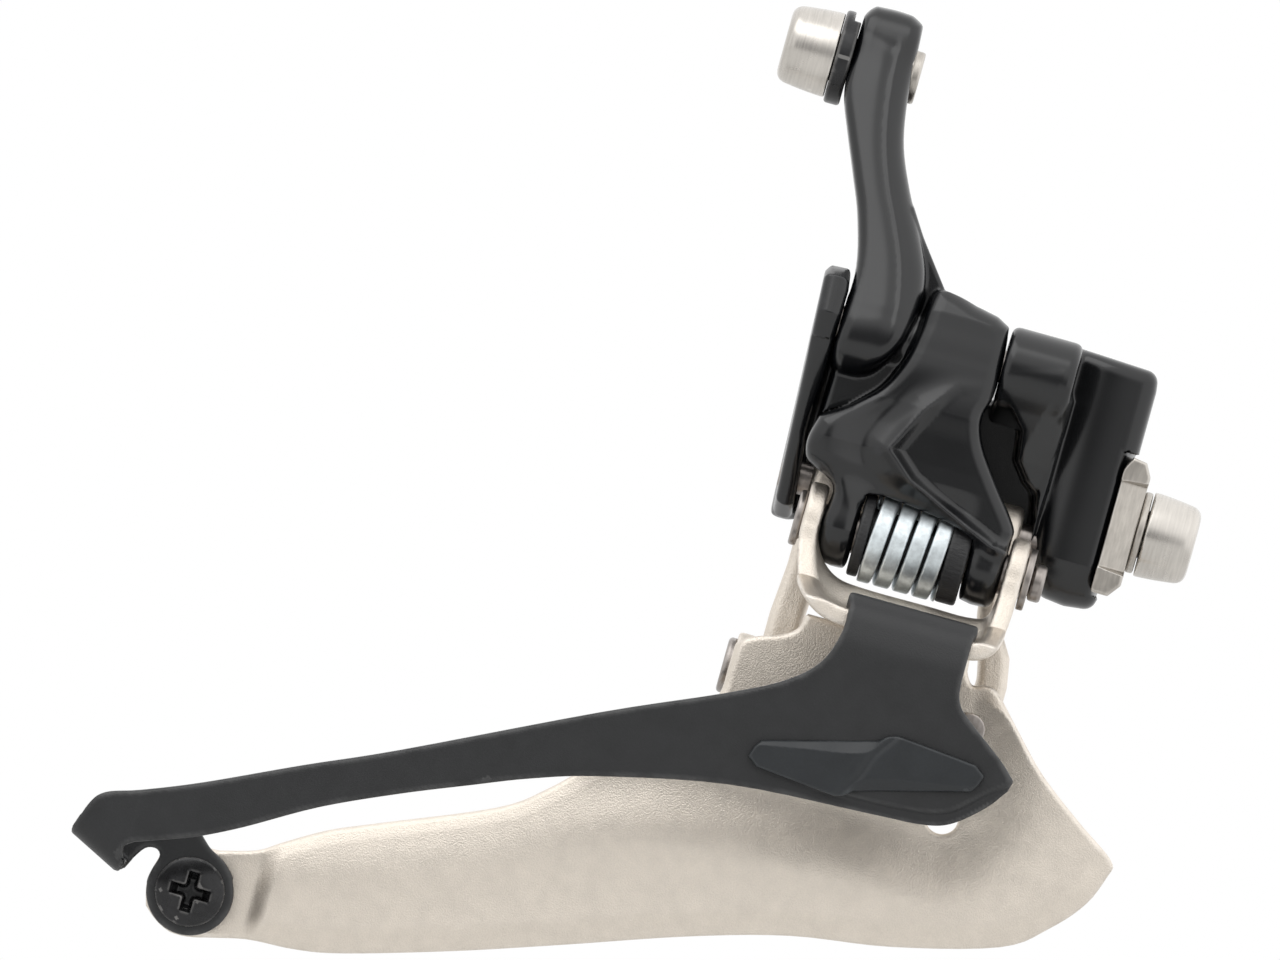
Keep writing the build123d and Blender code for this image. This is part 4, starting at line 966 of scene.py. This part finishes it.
def wear_pad(x, y, z):
    """Two lobes, each the other turned by half a turn, with a sloping strip along one side."""
    dx, dz = x - PAD_CENTRE[0], z - PAD_CENTRE[1]
    u = dx * math.cos(PAD_TILT) + dz * math.sin(PAD_TILT)
    v = dz * math.cos(PAD_TILT) - dx * math.sin(PAD_TILT)
    strip = np.interp(u, [p[0] for p in PAD_FACET], [p[1] for p in PAD_FACET])
    other = -np.interp(-u, [p[0] for p in PAD_FACET], [p[1] for p in PAD_FACET])
    top = np.where(u < 1.8, np.maximum(v - strip, 0), 0) * 0.6
    bottom = np.where(u > -1.8, np.maximum(other - v, 0), 0) * 0.6
    groove = 0.16 * np.exp(-(stroke(u, v, PAD_SPLIT) / 0.35) ** 2)
    crown = PAD_LOW[1] + np.minimum(top + bottom, 0.7) + groove
    back = -23.45
    pad = smax(polygon(u, v, PAD_EDGE), np.maximum((crown - y) * 0.85, y - back), 0.25)
    key_outline = [(-3.8, -0.9), (3.8, -0.9), (3.8, 0.9), (-3.8, 0.9)]
    key = smax(polygon(u, v, key_outline), slab(y, back - 0.15, PAD_HIGH[1]), 0.2)
    return np.minimum(pad, key)


piece("wear_pad", "cage", PAD_PLASTIC, wear_pad, 0.17)

# ------------ cage fasteners and pins


def tail_screw(x, y, z):
    """Pan-head screw with a cross recess whose walls taper inwards."""
    low, high = node_box("tail_screw")
    head_r, dome_r = 3.45, 8.2
    r = disc(x, z, TAIL, 0)
    depth = y - low[1]
    dome = np.maximum(np.hypot(r, depth - dome_r) - dome_r, y - TAIL_FACE + OUTER_SHEET)
    head = smax(r - head_r, dome, 0.35)
    recess = cross(x, z, TAIL, 2.15 - 0.45 * np.clip(depth, 0, 3), 0.56 - 0.1 * np.clip(depth, 0, 3))
    recess = smax(recess, depth - 1.9, 0.3)
    head = smax(head, -recess, 0.22)
    screw = thread(y, x - TAIL[0], z - TAIL[1], 2.0, SMALL_THREAD_PITCH, SMALL_THREAD_DEPTH)
    screw = smax(screw, slab(y, -14.0, high[1]), 0.4)
    return np.maximum(np.minimum(head, screw), -recess)


piece("tail_screw", "cage", BLACKENED, tail_screw, 0.13)


def tail_nut(x, y, z):
    """Hexagon nut, its far corners turned off."""
    low, high = node_box("tail_nut")
    across, cone_r, hole_r = 7.0, 5.4, 2.05
    nut = smax(hexagon(z, x, TAIL[::-1], across), slab(y, low[1], high[1]), 0.3)
    nut = smax(nut, disc(x, z, TAIL, cone_r) + (y - low[1]) * 0.9, 0.2)
    return bore(nut, x, z, TAIL, hole_r, 0.25)


piece("tail_nut", "cage", STEEL, tail_nut, 0.15)


def bridge_rivets(x, y, z):
    """Two rivets that hold the outer plate's neck on the collar's shelf."""
    low, high = node_box("bridge_rivets")
    middle = (low[0] + high[0]) / 2
    half_apart = (RIVETS[1] - RIVETS[0]) / 2
    r = disc(np.abs(x - middle), y, (half_apart, RIVET_LINE), 0)
    shank = smax(r - 1.23, slab(z, low[2], high[2]), 0.2)
    head = smax(r - 2.0, np.maximum(low[2] - z, z - low[2] - 0.7), 0.5)
    return np.minimum(shank, head)


piece("bridge_rivets", "cage", PIN_STEEL, bridge_rivets, 0.14)


def hinge_bracket(x, y, z):
    """Folded bracket with the front ear of the lower inner pivot."""
    low, high = node_box("hinge_bracket")
    flange = smax(polygon(x, z, [(-12.1, -20.9), (-11.3, -20.1), (-4.3, -20.1), (-4.3, -26.3), (-11.3, -26.3),
                                 (-12.1, -25.5)]), slab(y, low[1], low[1] + 1.2), 0.3)
    ear = smin(polygon(y, z, [(-9.7, -20.4), (-4.8, -20.3), (-4.8, -26.0), (-9.7, -26.0)]),
               disc(y, z, LOWER_INNER, 2.9), 0.5)
    ear = smax(ear, slab(x, -5.8, -4.3), 0.4)
    made = smin(flange, ear, 0.8)
    # The upper front corner is cut off slanting.
    made = smax(made, (x + z + 26.3) * 0.707, 0.3)
    made = bore(made, x, z, BRACKET_RIVET, BRACKET_RIVET_BORE_R, 0.15)
    made = smax(made, low[1] - y, 0.1)
    return bore(made, y, z, LOWER_INNER, INNER_HINGE_BORE_R, 0.15, x > -7)


piece("hinge_bracket", "cage", NICKEL, hinge_bracket, 0.2)


def bracket_rivet(x, y, z):
    """Rivet through the inner plate and the bracket, with a low head on each side."""
    low, high = node_box("bracket_rivet")
    r = disc(x, z, node_centre("bracket_rivet", X, Z), 0)
    shank = smax(r - 1.38, slab(y, -11.6, high[1] - 0.3), 0.1)
    near = smax(r - 1.65, np.maximum(low[1] - y + 0.06 * r**2, y + 11.5), 0.15)
    far = smax(r - 1.95, np.maximum(-8.5 - y, y - high[1] + 0.1 * r**2), 0.25)
    return np.minimum(shank, np.minimum(near, far))


piece("bracket_rivet", "cage", PIN_STEEL, bracket_rivet, 0.13)


def lower_outer_pin(x, y, z):
    """Headed pin with a groove for the clip near its front end."""
    low, high = node_box("lower_outer_pin")
    r = disc(y, z, LOWER_OUTER, 0)
    head = smax(r - PIN_HEAD_R, slab(x, low[0], low[0] + PIN_HEAD), 0.3)
    shank = smax(r - 2.0, slab(x, low[0], high[0] - 2.1), 0.1)
    neck = np.maximum(r - 1.4, slab(x, low[0], high[0] - 1.2))
    tip = smax(r - 1.85, slab(x, high[0] - 1.3, high[0]), 0.4)
    return np.minimum(np.minimum(head, shank), np.minimum(neck, tip))


piece("lower_outer_pin", "cage", PIN_STEEL, lower_outer_pin, 0.15)


def lower_outer_clip(x, y, z):
    """Retaining clip with three inner lugs and an open mouth below."""
    low, high = node_box("lower_outer_clip")
    u, v = y - LOWER_OUTER[0], z - LOWER_OUTER[1]
    r = np.hypot(u, v)
    ring = np.maximum(r - 3.15, 2.3 - r)
    lugs = np.cos(3 * (np.arctan2(v, u) - math.pi / 2)) * 0.5
    ring = np.minimum(ring, np.maximum(np.maximum(r - 2.6, 1.45 - r), 0.32 - lugs))
    ring = np.maximum(ring, -np.maximum(np.abs(u) - 1.0, v + 1.2))
    return smax(ring, slab(x, low[0], high[0]), 0.12)


piece("lower_outer_clip", "cage", PIN_STEEL, lower_outer_clip, 0.12)

# ------------ floor, light and camera

# The camera is rolled: its right and up run along these directions of the row frame.
ROLL = math.radians(15.5)
RIGHT = Vector((math.cos(ROLL), 0, math.sin(ROLL)))
UP = Vector((-math.sin(ROLL), 0, math.cos(ROLL)))
TOWARDS = Vector((0, -1, 0))
low_corner, high_corner = CAD_BOX
MIDDLE = (low_corner + high_corner) / 2
# The middle of the view lies a little behind the part's own.
AIM = MIDDLE + Vector((-0.0051, -0.004, 0.0018))
LENS_DISTANCE = 3.0
VIEW_WIDTH = 0.1242


def make_floor():
    """Pale floor with rounded corners, a little below the part."""
    level = low_corner.z - 0.032
    rear, front, half_width, corner_r = 0.36, -0.85, 0.75, 0.1
    inset = half_width - corner_r
    centres = [(inset, rear - corner_r), (-inset, rear - corner_r),
               (-inset, front + corner_r), (inset, front + corner_r)]
    corners = []
    for quarter, (cx, cy) in enumerate(centres):
        for step in range(0, 91, 10):
            angle = math.radians(quarter * 90 + step)
            corners.append((cx + corner_r * math.cos(angle), cy + corner_r * math.sin(angle), level))
    mesh = bpy.data.meshes.new("floor_mesh")
    mesh.from_pydata(corners, [], [list(range(len(corners)))])
    floor = bpy.data.objects.new("floor", mesh)
    bpy.context.scene.collection.objects.link(floor)
    made, tree, shader = new_material("pale_floor")
    cloud = noise(tree, 9.0, 2)
    colour = mix_colour(tree, cloud, (0.62, 0.62, 0.615), (0.68, 0.68, 0.675))
    tree.links.new(colour, shader.inputs["Base Color"])
    shader.inputs["Roughness"].default_value = 0.7
    mesh.materials.append(made)


def make_world():
    """Soft white surroundings, dimmer below and straight ahead of the near side."""
    world = bpy.data.worlds.new("studio")
    bpy.context.scene.world = world
    world.use_nodes = True
    tree = world.node_tree
    background = tree.nodes["Background"]
    where = add_node(tree, "ShaderNodeTexCoord")

    def facing(direction):
        dot = add_node(tree, "ShaderNodeVectorMath", operation="DOT_PRODUCT")
        dot.inputs[1].default_value = direction
        tree.links.new(where.outputs["Generated"], dot.inputs[0])
        return dot.outputs["Value"]

    # Brightness from below to above, from the sides to straight ahead, and from left to right.
    height = remap(tree, facing(UP), -0.8, 0.7, 0.94, 1.24)
    ahead = remap(tree, facing(TOWARDS), 0.90, 0.995, 1.0, 0.2)
    side = remap(tree, facing(RIGHT), -0.8, 0.8, 0.86, 1.1)
    level = combine(tree, "MULTIPLY", combine(tree, "MULTIPLY", height, ahead), side)
    path = add_node(tree, "ShaderNodeLightPath")
    seen = add_node(tree, "ShaderNodeMix", data_type="FLOAT")
    tree.links.new(path.outputs["Is Camera Ray"], seen.inputs[0])
    tree.links.new(level, seen.inputs[2])
    seen.inputs[3].default_value = 1.0
    background.inputs["Color"].default_value = (1.0, 1.0, 1.0, 1.0)
    tree.links.new(seen.outputs[0], background.inputs["Strength"])


def softbox(name, direction, distance, size, power):
    light = bpy.data.lights.new(name, "AREA")
    light.shape = "RECTANGLE"
    light.size, light.size_y = size
    light.energy = power
    obj = bpy.data.objects.new(name, light)
    obj.location = AIM + direction.normalized() * distance
    obj.rotation_mode = "QUATERNION"
    obj.rotation_quaternion = (AIM - obj.location).to_track_quat("-Z", "Y")
    obj.visible_camera = False
    bpy.context.scene.collection.objects.link(obj)


def make_camera():
    """Long lens, square to the part's outer side."""
    camera = bpy.data.cameras.new("camera")
    camera.sensor_width = 36.0
    camera.lens = camera.sensor_width * LENS_DISTANCE / VIEW_WIDTH
    camera.clip_start, camera.clip_end = 0.05, 10.0
    obj = bpy.data.objects.new("camera", camera)
    turn = Matrix((RIGHT, UP, TOWARDS)).transposed()
    obj.matrix_world = Matrix.Translation(AIM + TOWARDS * LENS_DISTANCE) @ turn.to_4x4()
    bpy.context.scene.collection.objects.link(obj)
    bpy.context.scene.camera = obj


make_floor()
make_world()
softbox("top_light", UP * 0.9 + TOWARDS * 0.45 - RIGHT * 0.15, 0.6, (0.6, 0.4), 0.9)
make_camera()
bpy.context.scene.view_settings.view_transform = "Standard"
